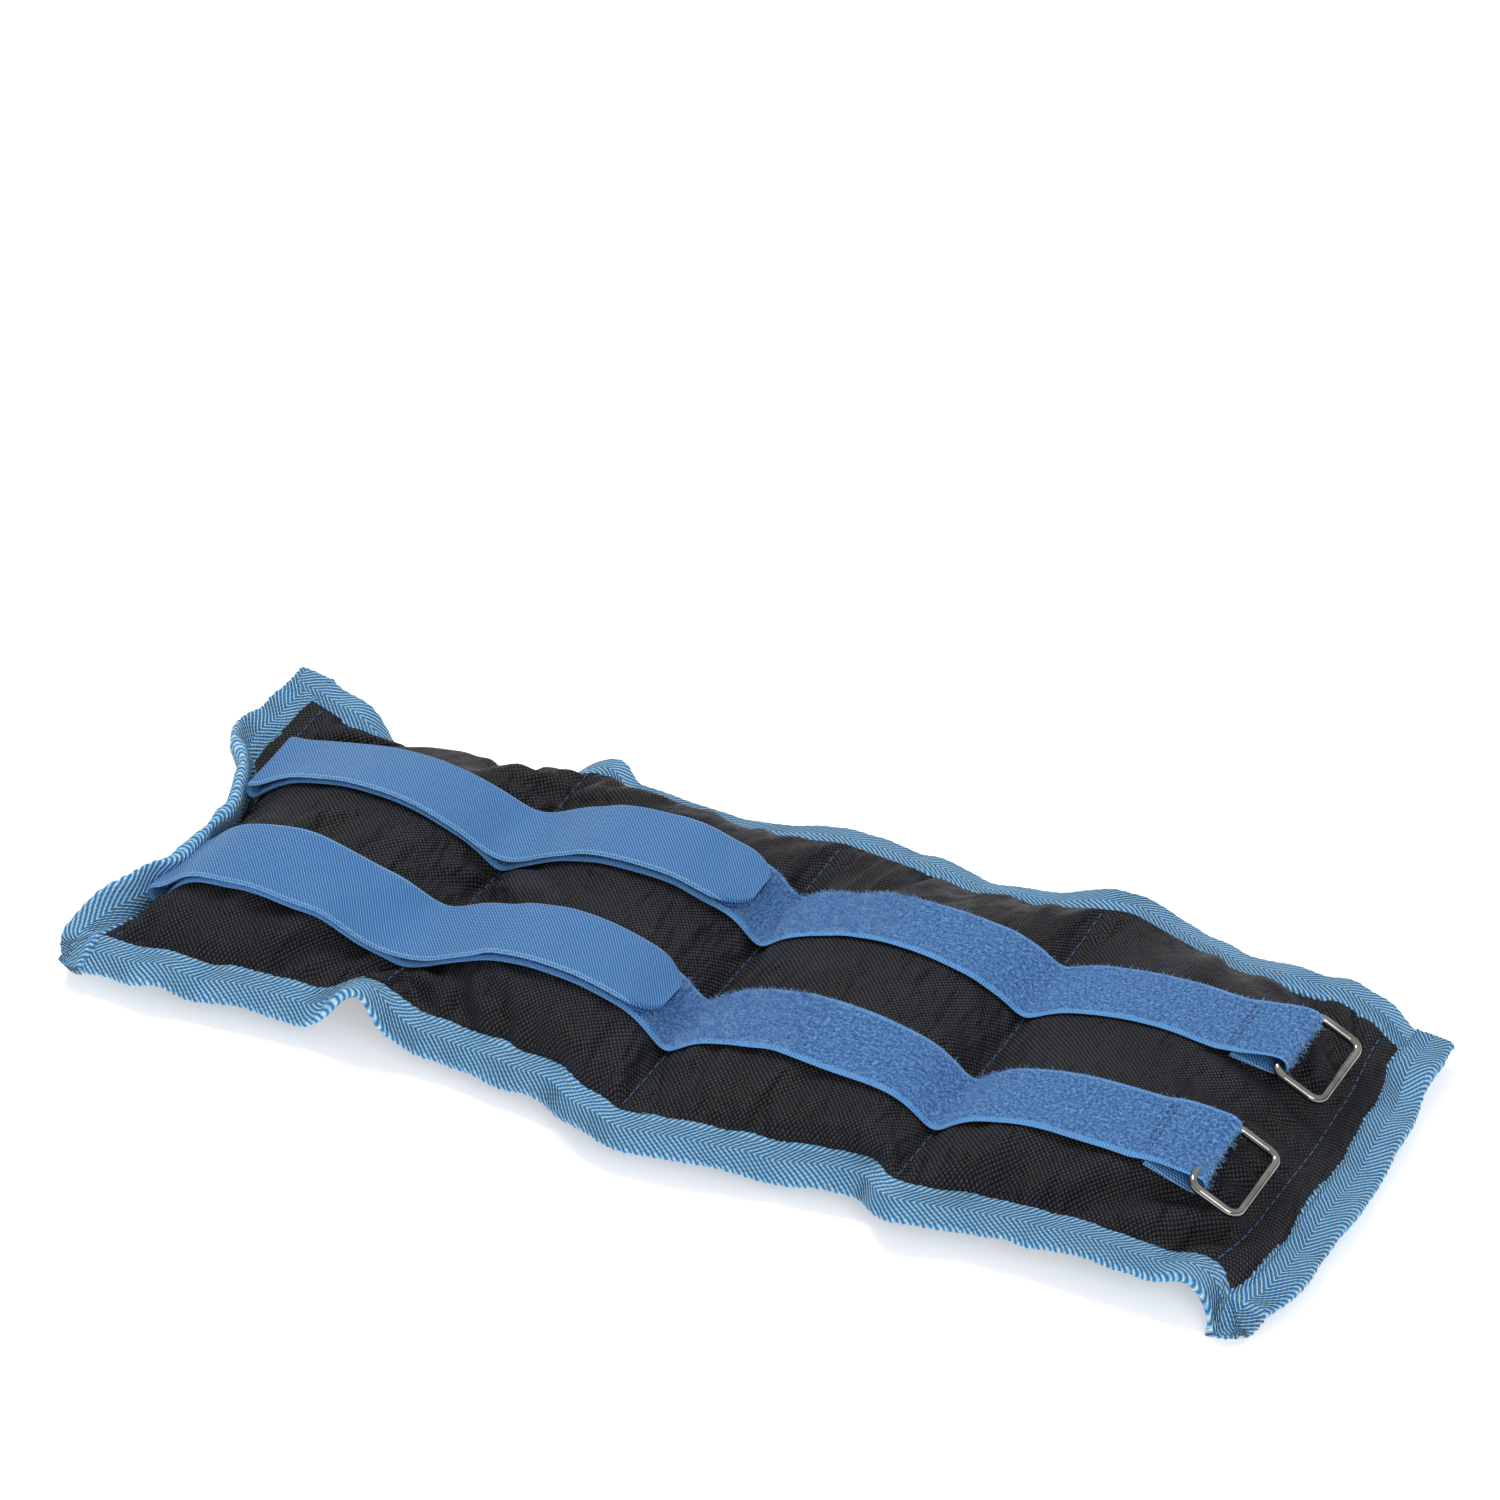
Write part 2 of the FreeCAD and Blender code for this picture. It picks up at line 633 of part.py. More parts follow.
def write():
    os.makedirs("parts", exist_ok=True)
    for piece in pieces:
        piece.Shape.exportStep(f"parts/{piece.Label}.step")
        print(f"{piece.Label}: {len(piece.Shape.Solids)} solid, {piece.Shape.Volume:.0f} mm3")


pillows = make_pillows()
for pocket in POCKETS:
    make_covers(pocket, pillows)
    make_filling(pocket, pillows)
    make_side_tapes(pocket)
make_end_tapes()
make_straps()
make_tails()
make_rings()
make_ring_loops()
make_stitches()
doc.recompute()
check()
write()
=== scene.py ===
import json
import math

import bpy
import numpy as np
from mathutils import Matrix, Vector
from mathutils.bvhtree import BVHTree


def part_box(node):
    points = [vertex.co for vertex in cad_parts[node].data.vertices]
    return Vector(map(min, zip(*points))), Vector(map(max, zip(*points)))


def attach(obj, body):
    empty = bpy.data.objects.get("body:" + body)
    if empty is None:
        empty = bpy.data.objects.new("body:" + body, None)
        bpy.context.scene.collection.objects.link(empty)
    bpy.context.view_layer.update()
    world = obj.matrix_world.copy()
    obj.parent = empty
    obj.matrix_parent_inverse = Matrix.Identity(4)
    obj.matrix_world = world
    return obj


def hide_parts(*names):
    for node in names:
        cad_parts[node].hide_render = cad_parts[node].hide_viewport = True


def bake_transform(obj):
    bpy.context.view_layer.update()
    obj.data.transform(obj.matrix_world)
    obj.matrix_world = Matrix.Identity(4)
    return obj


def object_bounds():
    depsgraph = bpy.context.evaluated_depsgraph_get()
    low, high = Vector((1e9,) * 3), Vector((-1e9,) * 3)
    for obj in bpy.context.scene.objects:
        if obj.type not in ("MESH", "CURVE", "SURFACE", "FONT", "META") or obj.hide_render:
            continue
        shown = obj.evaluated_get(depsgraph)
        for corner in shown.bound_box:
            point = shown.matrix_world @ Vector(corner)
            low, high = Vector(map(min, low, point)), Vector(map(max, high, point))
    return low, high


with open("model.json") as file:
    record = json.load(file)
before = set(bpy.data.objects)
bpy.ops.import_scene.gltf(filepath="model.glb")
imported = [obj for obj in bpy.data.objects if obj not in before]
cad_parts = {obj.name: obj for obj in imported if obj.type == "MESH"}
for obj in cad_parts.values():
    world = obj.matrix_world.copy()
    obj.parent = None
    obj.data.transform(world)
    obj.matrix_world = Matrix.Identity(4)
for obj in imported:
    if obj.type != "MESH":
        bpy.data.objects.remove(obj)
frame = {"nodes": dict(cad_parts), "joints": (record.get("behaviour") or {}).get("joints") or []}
CAD_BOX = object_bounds()

# An ankle cuff weight lying open and flat. Everything below is worked out in millimetres, in the
# frame's own axes, and turned into metres when a mesh is made: X along the cuff, Y across it.

MM = 0.001
JOINTS = {joint["name"]: joint for joint in frame["joints"]}


def joint_at(name):
    """A joint's place, in millimetres."""
    return np.array(JOINTS[name]["pos_m"]) / MM


def box_mm(node):
    """A node's lowest and highest corners, in millimetres."""
    low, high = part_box(node)
    return np.array(low) / MM, np.array(high) / MM


# Sizes that the frame gives.
HALF_LENGTH = CAD_BOX[1][0] / MM
HALF_WIDTH = CAD_BOX[1][1] / MM
SEAMS = [joint_at("wrap_seam_1")[0], joint_at("wrap")[0], joint_at("wrap_seam_3")[0]]
SEAM_HEIGHT = joint_at("wrap")[2]
TAPE_WIDTH = box_mm("front_binding_2")[1][1] - box_mm("front_binding_2")[0][1]
STRAP_WIDTH = box_mm("loop_strap_front_3")[1][1] - box_mm("loop_strap_front_3")[0][1]
FOLD = joint_at("tail_peel_front")
BAR = joint_at("ring_swing_front")
STRAP_AT = {"front": joint_at("tail_peel_front")[1], "rear": joint_at("tail_peel_rear")[1]}

# The cloth between the tapes, and the lines that hold it.
END_STRIP = 4.5  # flat cloth between the last pocket and the end tape
HEM = 0.5  # how far the tape laps over the filled part of the cloth
INNER_X = HALF_LENGTH - TAPE_WIDTH
INNER_Y = HALF_WIDTH - TAPE_WIDTH + HEM
LINES = [-INNER_X + END_STRIP, *SEAMS, INNER_X - END_STRIP - 2.0]
MIDDLES = [(a + b) / 2 for a, b in zip(LINES, LINES[1:])]
CELL = 2.7  # spacing of the simulated cloth's points
FULLNESS_X = 0.062  # spare cloth along each pocket, as a share of its length
FULLNESS_Y = 0.085  # spare cloth across the cuff
SKEW = 8.0  # the cuff lies a little out of square, this much over its length
STRAP_SKEW = 11.5  # the straps lean this much between their rings and their folds
STRAP_SHIFT = {"front": 4.0, "rear": 0.5}  # and lie this much further back over their left half,
SHIFT_FROM, SHIFT_OVER = 60.0, 110.0  # from this place on, growing over this length
SEAM_SAG = 1.0  # seams hang this much below the height that the frame gives them
END_REACH = 45.0  # the tables of the two ends act on the cloth this far in
DETAIL = 2  # how much finer the finished cloth is than the simulated one
THICKNESS = 0.35  # half the thickness that two layers of cloth have where they meet

# How the filling blows the cloth up.
DOME_HEIGHT = 6.0  # each pocket starts as a dome this high,
DOME_EDGE = 14.0  # which falls off this far from the cuff's long edges
SETTLE_STEPS = 110
SWEEPS = 4  # times that each step goes over the springs
PUSH = 0.02  # millimetres per step, outward
DRAG = 0.9  # the share of its speed that cloth keeps from step to step
DIAGONAL = 0.35  # how strongly the weave's diagonals hold, against its threads
BENDING = 0.03  # how strongly the cloth keeps flat
FLOOR = 0.35  # the lowest that cloth lies
SPARE_BELOW = 0.11  # the underside has this much more cloth, which the sand pushes outward
UNEVEN = 0.16  # how unevenly the cloth was cut and gathered

# What is finer than the simulated cloth.
CROWN = 22.0  # a pocket's usual height over its seams
STEEPER = 0.8  # the power that makes pockets rise more steeply from their seams
FOLDS = 7  # folds along each taped edge of a pocket, on each layer
FOLD_WIDTH = (1.7, 3.2)
FOLD_HEIGHT = (0.7, 1.8)
FOLD_REACH = (8, 17)  # how far in a fold fades away

# How the edges lie: place along the edge, how far out, how far up, and how far the tape tips down.
FRONT_EDGE = [
    (-168, 3, 0, 25), (-150, 4, 0, 22), (-120, 0, 0, 22), (-100, -1, 0, 24), (-94, -2, 2, 15),
    (-89, -4, 5, -10), (-83, -5, 5, -20), (-78, -4, 2, 10), (-68, -3, 0, 24), (-60, -3, 0, 26),
    (-25, 1, 0, 26), (-14, 8, 0, 22), (-3, 11, 0, 20), (12, 9.5, 0, 24), (28, 7, 0, 28),
    (50, 3, 0, 30), (64, 1, 0, 34), (68, 2, 0, 40), (72, 8, 2, 20), (78, 9, 1, 22), (93, 4, 0, 24),
    (114, 2, 0, 12), (137, 2, 1, 2), (148, 3, 1, 0), (157, 1, 3, -10), (163, 0, 2, 5),
    (168, 9, -1, 30), (172, 19, -3, 38),
]
BACK_EDGE = [
    (-168, -1, 3, -12), (-152, -4, 2, 0), (-144, -5, 0, 30), (-136, -2, -1, 60), (-120, 2, 0, 70),
    (-105, 3, 0, 70), (-95, 1, 0, 60), (-89, 0, 2, 20), (-82, 4, 5, 0), (-77, 5, 5, -5),
    (-70, -1, 3, 0), (-55, -2, 2, 5), (-28, 0, 2, 10), (-13, 4, 3, 5), (-4, 5, 4, 5), (10, 5, 3, 8),
    (26, 5, 2, 12), (37, 4, 1, 18), (46, 3, 2, 12), (58, 3, 3, 5), (74, 6, 5, -5), (82, 8, 5, 0),
    (92, 7, 3, 8), (115, 2, 1, 10), (130, 1, 1, 8), (146, 2, 1, 5), (156, 0, 0, 5),
    (168, -7, -2, 5),
]
LEFT_EDGE = [
    (-60, 2, -1, 20), (-52, -2, 0, -10), (-43, -5, 0, -60), (-30, -6, 0, -95), (0, -6, 0, -100),
    (18, -1, 1, -85), (27, 4, 1, -60), (36, 5, 2, -35), (45, 2.5, 3, -25), (52, 2.5, 4, -15),
    (60, 1, 4, -15),
]
RIGHT_EDGE = [
    (-60, -1, -5, 10), (-48, 3, -5, 10), (-40, 4, -5, 10), (0, 4.5, -5, 10), (30, 3, -4, 10),
    (48, 0, -3, 5), (60, 0, -2, 5),
]


# Shaping helpers.


def gaussian(values, sigma, axis=0):
    """Values smoothed along an axis, sigma in steps, with the ends held."""
    if sigma <= 0:
        return values
    reach = max(1, int(math.ceil(3 * sigma)))
    kernel = np.exp(-0.5 * (np.arange(-reach, reach + 1) / sigma) ** 2)
    kernel /= kernel.sum()
    moved = np.moveaxis(np.asarray(values, float), axis, 0)
    padded = np.concatenate([np.repeat(moved[:1], reach, 0), moved, np.repeat(moved[-1:], reach, 0)])
    smooth = sum(weight * padded[i:i + len(moved)] for i, weight in enumerate(kernel))
    return np.moveaxis(smooth, 0, axis)


def soft_curve(rows, column, places, softness=2.0):
    """A column of an edge's table as a smooth curve, read at the given places."""
    rows = np.array(rows, float)
    fine = np.arange(rows[0, 0] - 20, rows[-1, 0] + 21, 1.0)
    heights = gaussian(np.interp(fine, rows[:, 0], rows[:, column]), softness)
    return np.interp(places, fine, heights)


def smoothstep(x):
    x = np.clip(x, 0, 1)
    return x * x * (3 - 2 * x)


def unit(vectors):
    return vectors / (np.linalg.norm(vectors, axis=-1, keepdims=True) + 1e-12)


def ringed(upper, lower):
    """The rings of a closed piece: its upper points, then its lower ones backwards."""
    return np.concatenate([upper, lower[:, ::-1]], axis=1)


def plan(u, v):
    """Where a point of the flat pattern (u along, v across) lies before the pockets are filled."""
    u, v = np.broadcast_arrays(np.asarray(u, float), np.asarray(v, float))
    across = np.clip((v + INNER_Y) / (2 * INNER_Y), 0, 1)
    along = np.clip((u + INNER_X) / (2 * INNER_X), 0, 1)
    near_left = np.clip(1 - (u + INNER_X) / END_REACH, 0, 1) ** 2
    near_right = np.clip(1 - (INNER_X - u) / END_REACH, 0, 1) ** 2
    near_front = (1 - across) ** 2
    near_back = across ** 2
    x = u - near_left * soft_curve(LEFT_EDGE, 1, v) + near_right * soft_curve(RIGHT_EDGE, 1, v)
    y = v - (1 - across) * soft_curve(FRONT_EDGE, 1, u) + across * soft_curve(BACK_EDGE, 1, u)
    y = y + (along - 0.5) * SKEW
    z = SEAM_HEIGHT - SEAM_SAG + near_front * soft_curve(FRONT_EDGE, 2, u)
    z = z + near_back * soft_curve(BACK_EDGE, 2, u)
    z = z + near_left * soft_curve(LEFT_EDGE, 2, v) + near_right * soft_curve(RIGHT_EDGE, 2, v)
    return np.stack([x, y, z], axis=-1)


# The quilted cloth: two layers sewn together round the edge and at each line, blown up by their
# filling in a cloth simulation of points held to the spacing that the cloth was cut to.


def cloth_columns():
    """Pattern places along the cuff, with a column on every sewn line."""
    stops = [-INNER_X, *LINES, INNER_X]
    columns = [stops[0]]
    for start, stop in zip(stops, stops[1:]):
        steps = max(2, int(round((stop - start) / CELL)))
        columns += list(np.linspace(start, stop, steps + 1)[1:])
    return np.array(columns)


COLUMNS = cloth_columns()
ROWS = np.linspace(-INNER_Y, INNER_Y, int(round(2 * INNER_Y / CELL)) + 1)


def sewn_mask():
    """True where the two layers are held together: round the edge, at the lines and past them."""
    held = np.zeros((len(COLUMNS), len(ROWS)), bool)
    held[0, :] = held[-1, :] = True
    held[:, 0] = held[:, -1] = True
    for line in LINES:
        held[np.argmin(abs(COLUMNS - line)), :] = True
    held[COLUMNS <= LINES[0] + 0.01, :] = True
    held[COLUMNS >= LINES[-1] - 0.01, :] = True
    return held


def start_bulge():
    """A low smooth dome in each pocket, so that the filling knows which way is out."""
    dome = np.zeros((len(COLUMNS), len(ROWS)))
    edge = np.clip((INNER_Y - abs(ROWS)) / DOME_EDGE, 0, 1)
    for left, right in zip(LINES, LINES[1:]):
        inside = (COLUMNS > left) & (COLUMNS < right)
        place = (COLUMNS[inside] - left) / (right - left)
        dome[inside] = np.outer(np.sin(np.pi * place), np.sin(edge * np.pi / 2)) * DOME_HEIGHT
    return dome


def rest_plan():
    """The flat size that the cloth was cut to, with its spare length and width."""
    stretch = np.diff(COLUMNS) * (1 + FULLNESS_X)
    u = np.concatenate([[0], np.cumsum(stretch)])
    v = ROWS * (1 + FULLNESS_Y)
    grid_u, grid_v = np.meshgrid(u - u.mean(), v, indexing="ij")
    return np.stack([grid_u, grid_v, np.zeros_like(grid_u)], axis=-1)


def spring_batches(cut, free, step, strength, uneven):
    """Pairs of points `step` apart on both layers, in two batches that share no point."""
    along, across = step
    columns, rows = free.shape
    index = np.arange(free.size).reshape(free.shape)
    first = index[:columns - along, max(0, -across):rows - max(0, across)]
    second = index[along:, max(0, across):rows + min(0, across)]
    column, row = np.indices(first.shape)
    batch = (column // along if along else row // across) % 2
    loose = free.ravel().astype(float)
    cut_to = cut.reshape(-1, 3)
    batches = []
    for number in (0, 1):
        a, b = first[batch == number], second[batch == number]
        moving = loose[a] + loose[b] > 0
        a, b = a[moving], b[moving]
        rest = np.linalg.norm(cut_to[a] - cut_to[b], axis=1)
        share = strength / (loose[a] + loose[b])
        batches.append((
            np.concatenate([a, a + free.size]), np.concatenate([b, b + free.size]),
            np.concatenate([rest * uneven[0][a], rest * uneven[1][a]]),
            np.tile(share * loose[a], 2)[:, None], np.tile(share * loose[b], 2)[:, None],
        ))
    return batches


def settle(top, bottom, cut, held):
    """Blows the two layers up from inside until they rest, held at the seams and on the floor."""
    noise = np.random.default_rng(7)
    uneven = []
    for spare in (0.0, SPARE_BELOW):
        rough = gaussian(gaussian(noise.normal(size=held.shape), 1.2), 1.2, 1)
        uneven.append(1 + spare + UNEVEN * rough.ravel())
    free = ~held
    batches = []
    for step, strength in (
        ((1, 0), 1.0), ((0, 1), 1.0),
        ((1, 1), DIAGONAL), ((1, -1), DIAGONAL),
        ((2, 0), BENDING), ((0, 2), BENDING),
    ):
        batches += spring_batches(cut, free, step, strength, uneven)
    points = np.concatenate([top.reshape(-1, 3), bottom.reshape(-1, 3)])
    loose = np.tile(free.ravel(), 2)[:, None]
    moving = np.zeros_like(points)
    side = np.array([1.0, -1.0])[:, None, None, None]
    for _ in range(SETTLE_STEPS):
        layers = points.reshape(2, *held.shape, 3)
        outward = unit(np.cross(np.gradient(layers, axis=1), np.gradient(layers, axis=2))) * side
        before = points.copy()
        moving = (moving + PUSH * outward.reshape(-1, 3)) * DRAG
        points = points + moving * loose
        for _ in range(SWEEPS):
            for a, b, rest, share_a, share_b in batches:
                apart = points[b] - points[a]
                length = np.sqrt((apart * apart).sum(1))
                pull = apart * ((length - rest) / length)[:, None]
                points[a] += share_a * pull
                points[b] -= share_b * pull
            np.maximum(points[:, 2], FLOOR, out=points[:, 2])
        moving = points - before
    return points.reshape(2, *held.shape, 3)


def fill_pockets():
    """The top and bottom layers of the filled cuff, as grids of points."""
    grid_u, grid_v = np.meshgrid(COLUMNS, ROWS, indexing="ij")
    flat = plan(grid_u, grid_v)
    dome = start_bulge()
    lift = np.stack([np.zeros_like(dome), np.zeros_like(dome), dome], axis=-1)
    return settle(flat + lift, flat - lift, rest_plan(), sewn_mask())


def finer(values, factor):
    """A grid of points at `factor` times the steps both ways, on a smooth surface through them."""
    for axis in (0, 1):
        values = np.moveaxis(values, axis, 0)
        last = len(values) - 1
        place = np.arange(last * factor + 1) / factor
        step = np.minimum(place.astype(int), last - 1)
        part = (place - step).reshape(-1, *[1] * (values.ndim - 1))
        before, here = values[np.maximum(step - 1, 0)], values[step]
        after, beyond = values[step + 1], values[np.minimum(step + 2, last)]
        cubic = 3 * (here - after) + beyond - before
        square = 2 * before - 5 * here + 4 * after - beyond
        values = here + 0.5 * part * (after - before + part * (square + part * cubic))
        values = np.moveaxis(values, 0, axis)
    return values


# Materials. Patterns are measured in millimetres on the cloth itself, through the "weave" layer.


def linear(red, green, blue):
    """A colour given as it looks on a screen, 0 to 255, as the shader wants it."""
    values = [c / 255 for c in (red, green, blue)]
    return (*[c / 12.92 if c <= 0.04045 else ((c + 0.055) / 1.055) ** 2.4 for c in values], 1.0)


class Surface:
    """A material being built: its nodes, and short ways to add and join them."""

    def __init__(self, name, roughness, **constants):
        self.material = bpy.data.materials.new(name)
        self.material.use_nodes = True
        self.tree = self.material.node_tree
        self.shader = self.tree.nodes["Principled BSDF"]
        self.shader.inputs["Roughness"].default_value = roughness
        for socket, value in constants.items():
            self.shader.inputs[socket.replace("_", " ")].default_value = value

    def add(self, kind, **settings):
        node = self.tree.nodes.new(kind)
        for key, value in settings.items():
            setattr(node, key, value)
        return node

    def join(self, source, target):
        self.tree.links.new(source, target)

    def math(self, operation, first, second=None):
        node = self.add("ShaderNodeMath", operation=operation)
        for socket, value in zip(node.inputs, (first, second)):
            if value is None:
                continue
            if isinstance(value, (int, float)):
                socket.default_value = value
            else:
                self.join(value, socket)
        return node.outputs[0]

    def plus(self, first, second):
        return self.math("ADD", first, second)

    def minus(self, first, second):
        return self.math("SUBTRACT", first, second)

    def times(self, first, second):
        return self.math("MULTIPLY", first, second)

    def power(self, first, second):
        return self.math("POWER", first, second)

    def apart(self, first, second):
        return self.math("ABSOLUTE", self.minus(first, second))

    def selvedge(self, across, width):
        """1 in a strap's two edges, this wide, and 0 between them."""
        return self.math("GREATER_THAN", self.apart(across, STRAP_WIDTH / 2), STRAP_WIDTH / 2 - width)

    def place(self):
        """The pattern's two coordinates, in millimetres: along, and across."""
        node = self.add("ShaderNodeUVMap", uv_map="weave")
        parts = self.add("ShaderNodeSeparateXYZ")
        self.join(node.outputs[0], parts.inputs[0])
        return node.outputs[0], parts.outputs[0], parts.outputs[1]

    def noise(self, scale, detail=2.0, vector=None, stretch=(1, 1, 1), roughness=0.5):
        node = self.add("ShaderNodeTexNoise")
        node.inputs["Scale"].default_value = scale
        node.inputs["Detail"].default_value = detail
        node.inputs["Roughness"].default_value = roughness
        if vector is None:
            vector = self.add("ShaderNodeTexCoord").outputs["Object"]
        mapping = self.add("ShaderNodeMapping")
        mapping.inputs["Scale"].default_value = stretch
        self.join(vector, mapping.inputs[0])
        self.join(mapping.outputs[0], node.inputs["Vector"])
        return node.outputs[0]

    def wave(self, place, period):
        """From 0 to 1 and back every period."""
        turned = self.times(place, 2 * math.pi / period)
        return self.plus(self.times(self.math("SINE", turned), 0.5), 0.5)

    def ramp(self, value, stops):
        node = self.add("ShaderNodeValToRGB")
        self.join(value, node.inputs[0])
        points = node.color_ramp.elements
        while len(points) < len(stops):
            points.new(0.5)
        for point, (place, colour) in zip(points, stops):
            point.position = place
            point.color = linear(*colour)
        return node.outputs[0]

    def mix(self, share, first, second):
        node = self.add("ShaderNodeMix", data_type="RGBA")
        for socket, value in ((0, share), (6, first), (7, second)):
            if isinstance(value, tuple):
                node.inputs[socket].default_value = linear(*value)
            else:
                self.join(value, node.inputs[socket])
        return node.outputs[2]

    def bump(self, *layers):
        """Bumps from finest to broadest, each with its height in millimetres."""
        normal = None
        for height, depth in reversed(layers):
            node = self.add("ShaderNodeBump")
            node.inputs["Strength"].default_value = 1.0
            node.inputs["Distance"].default_value = depth * MM
            self.join(height, node.inputs["Height"])
            if normal is not None:
                self.join(normal, node.inputs["Normal"])
            normal = node.outputs[0]
        self.join(normal, self.shader.inputs["Normal"])

    def colour(self, value):
        self.join(value, self.shader.inputs["Base Color"])

    def rough(self, value, low, high):
        node = self.add("ShaderNodeMapRange")
        node.inputs["To Min"].default_value = low
        node.inputs["To Max"].default_value = high
        self.join(value, node.inputs[0])
        self.join(node.outputs[0], self.shader.inputs["Roughness"])


def nylon_cloth():
    """Black woven nylon: a basket weave whose threads carry a painted grey sheen, softly creased all
    over.
    """
    s = Surface("black_nylon", 0.5, Sheen_Weight=0.01, Sheen_Roughness=0.4, Specular_IOR_Level=0.14)
    vector, along, across = s.place()
    warp = s.wave(along, 1.3)
    weft = s.wave(across, 1.3)
    weave = s.apart(warp, weft)
    slub = s.noise(0.5, 3, vector, (0.25, 2.2, 1))
    slub_across = s.noise(0.5, 3, vector, (2.2, 0.25, 1))
    cloudy = s.noise(0.05, 3, vector)
    shade = s.times(s.plus(slub, slub_across), 0.5)
    base = s.ramp(shade, [(0.35, (4, 4, 6)), (0.65, (16, 16, 19))])
    # The weave's real pattern, with its thread tops lightened to grey: painted sheen on black threads.
    weave_and_sheen = s.mix(s.power(weave, 1.8), base, (84, 84, 91))
    s.colour(s.mix(s.times(cloudy, 0.4), weave_and_sheen, (10, 10, 13)))
    s.rough(s.plus(s.times(weave, 0.4), s.times(shade, 0.6)), 0.36, 0.6)
    creases = s.noise(0.13, 3, vector, (1.0, 0.5, 1), 0.55)
    folds = s.apart(s.noise(0.085, 2, vector, (1.6, 0.6, 1), 0.4), 0.5)
    s.bump((weave, 0.2), (shade, 0.16), (s.plus(creases, folds), 4.4))
    return s.material


def binding_tape():
    """Light blue twill tape in a herringbone of two chevrons, with painted highlights on its thread
    floats.
    """
    s = Surface("blue_tape", 0.6, Sheen_Weight=0.06, Sheen_Roughness=0.4, Specular_IOR_Level=0.35)
    vector, along, across = s.place()
    fold = s.math("PINGPONG", s.plus(across, 1.0), 6.8)
    row = s.plus(s.times(along, 0.78), s.times(fold, 0.95))
    rib = s.wave(row, 1.25)
    float_place = s.minus(s.times(fold, 0.95), s.times(along, 0.5))
    thread = s.times(rib, s.plus(s.times(s.wave(float_place, 1.3), 0.88), 0.12))
    cloudy = s.noise(0.09, 3, vector)
    base = s.mix(rib, (4, 98, 188), (96, 214, 255))
    # Near white on the thread floats: painted highlights on the blue tape.
    base = s.mix(s.power(thread, 0.9), base, (232, 255, 255))
    s.colour(s.mix(s.times(cloudy, 0.16), base, (40, 140, 214)))
    s.rough(thread, 0.75, 0.45)
    s.bump((thread, 0.26), (rib, 0.36), (s.noise(0.2, 2, vector), 0.5))
    return s.material


def loop_pile():
    """The soft side of a hook and loop strap: a napped blue pile between smoother selvedges."""
    s = Surface("blue_loop", 0.95, Sheen_Weight=0.3, Sheen_Roughness=0.6, Specular_IOR_Level=0.2)
    s.shader.inputs["Sheen Tint"].default_value = linear(176, 208, 245)
    vector, along, across = s.place()
    edge = s.selvedge(across, 1.6)
    nap = s.noise(1.0, 4, vector, (1, 1, 1), 0.75)
    tufts = s.noise(0.45, 3, vector, (1, 1.3, 1), 0.6)
    cloudy = s.noise(0.08, 2, vector)
    base = s.ramp(nap, [(0.38, (10, 50, 108)), (0.5, (58, 120, 186)), (0.61, (152, 200, 242))])
    base = s.mix(s.times(tufts, 0.5), base, (48, 104, 178))
    base = s.mix(s.times(cloudy, 0.3), base, (82, 142, 210))
    ribs = s.wave(along, 0.8)
    smooth = s.mix(ribs, (72, 134, 204), (118, 176, 230))
    s.colour(s.mix(edge, base, smooth))
    rough_height = s.times(nap, s.minus(1.0, s.times(edge, 0.8)))
    s.bump((rough_height, 0.75), (tufts, 0.6), (s.times(ribs, edge), 0.1))
    return s.material


def webbing_back():
    """The smooth woven side of a hook and loop strap, with a fine diagonal weave."""
    s = Surface("blue_webbing", 0.62, Sheen_Weight=0.2, Sheen_Roughness=0.4)
    vector, along, across = s.place()
    diagonal = s.wave(s.plus(along, s.times(across, 0.8)), 0.95)
    threads = s.wave(across, 0.7)
    rows = s.wave(along, 0.75)
    height = s.times(s.plus(diagonal, threads), 0.5)
    cloudy = s.noise(0.07, 3, vector)
    base = s.ramp(height, [(0.22, (6, 60, 130)), (0.5, (40, 116, 184)), (0.78, (116, 178, 228))])
    edge = s.selvedge(across, 1.2)
    base = s.mix(s.times(edge, s.times(rows, 0.8)), base, (140, 192, 236))
    s.colour(s.mix(s.times(cloudy, 0.35), base, (38, 112, 180)))
    s.rough(height, 0.7, 0.52)
    s.bump((height, 0.2), (s.noise(0.25, 3, vector), 0.25))
    return s.material


def hook_tape():
    """The stiff side of a hook and loop closure: rows of small hooks."""
    s = Surface("blue_hook", 0.45)
    vector, along, across = s.place()
    dots = s.times(s.wave(along, 1.3), s.wave(across, 1.1))
    base = s.mix(dots, (36, 86, 156), (98, 160, 222))
    s.colour(s.mix(s.noise(0.3, 2, vector), base, (60, 118, 190)))
    s.rough(dots, 0.6, 0.35)
    s.bump((s.power(dots, 2.0), 0.7))
    return s.material


def fibre():
    s = Surface("loose_fibre", 0.7, Sheen_Weight=0.3)
    s.colour(s.ramp(s.noise(400, 1), [(0.35, (96, 156, 222)), (0.65, (158, 204, 244))]))
    return s.material


def sewing_thread():
    """Blue sewing thread, twisted."""
    s = Surface("blue_thread", 0.5, Sheen_Weight=0.2)
    twist = s.noise(2500, 2, None, (1, 1, 3))
    s.colour(s.ramp(twist, [(0.35, (24, 62, 112)), (0.65, (54, 100, 154))]))
    s.rough(twist, 0.6, 0.4)
    s.bump((twist, 0.08))
    return s.material


def nickel_wire():
    """Bright nickel plating with the faint marks of handling."""
    s = Surface("nickel", 0.12, Metallic=1.0)
    marks = s.noise(900, 4, None, (1, 1, 1), 0.6)
    broad = s.noise(120, 2)
    s.colour(s.ramp(broad, [(0.35, (142, 137, 130)), (0.65, (178, 174, 168))]))
    s.rough(marks, 0.07, 0.18)
    s.bump((broad, 0.01))
    return s.material


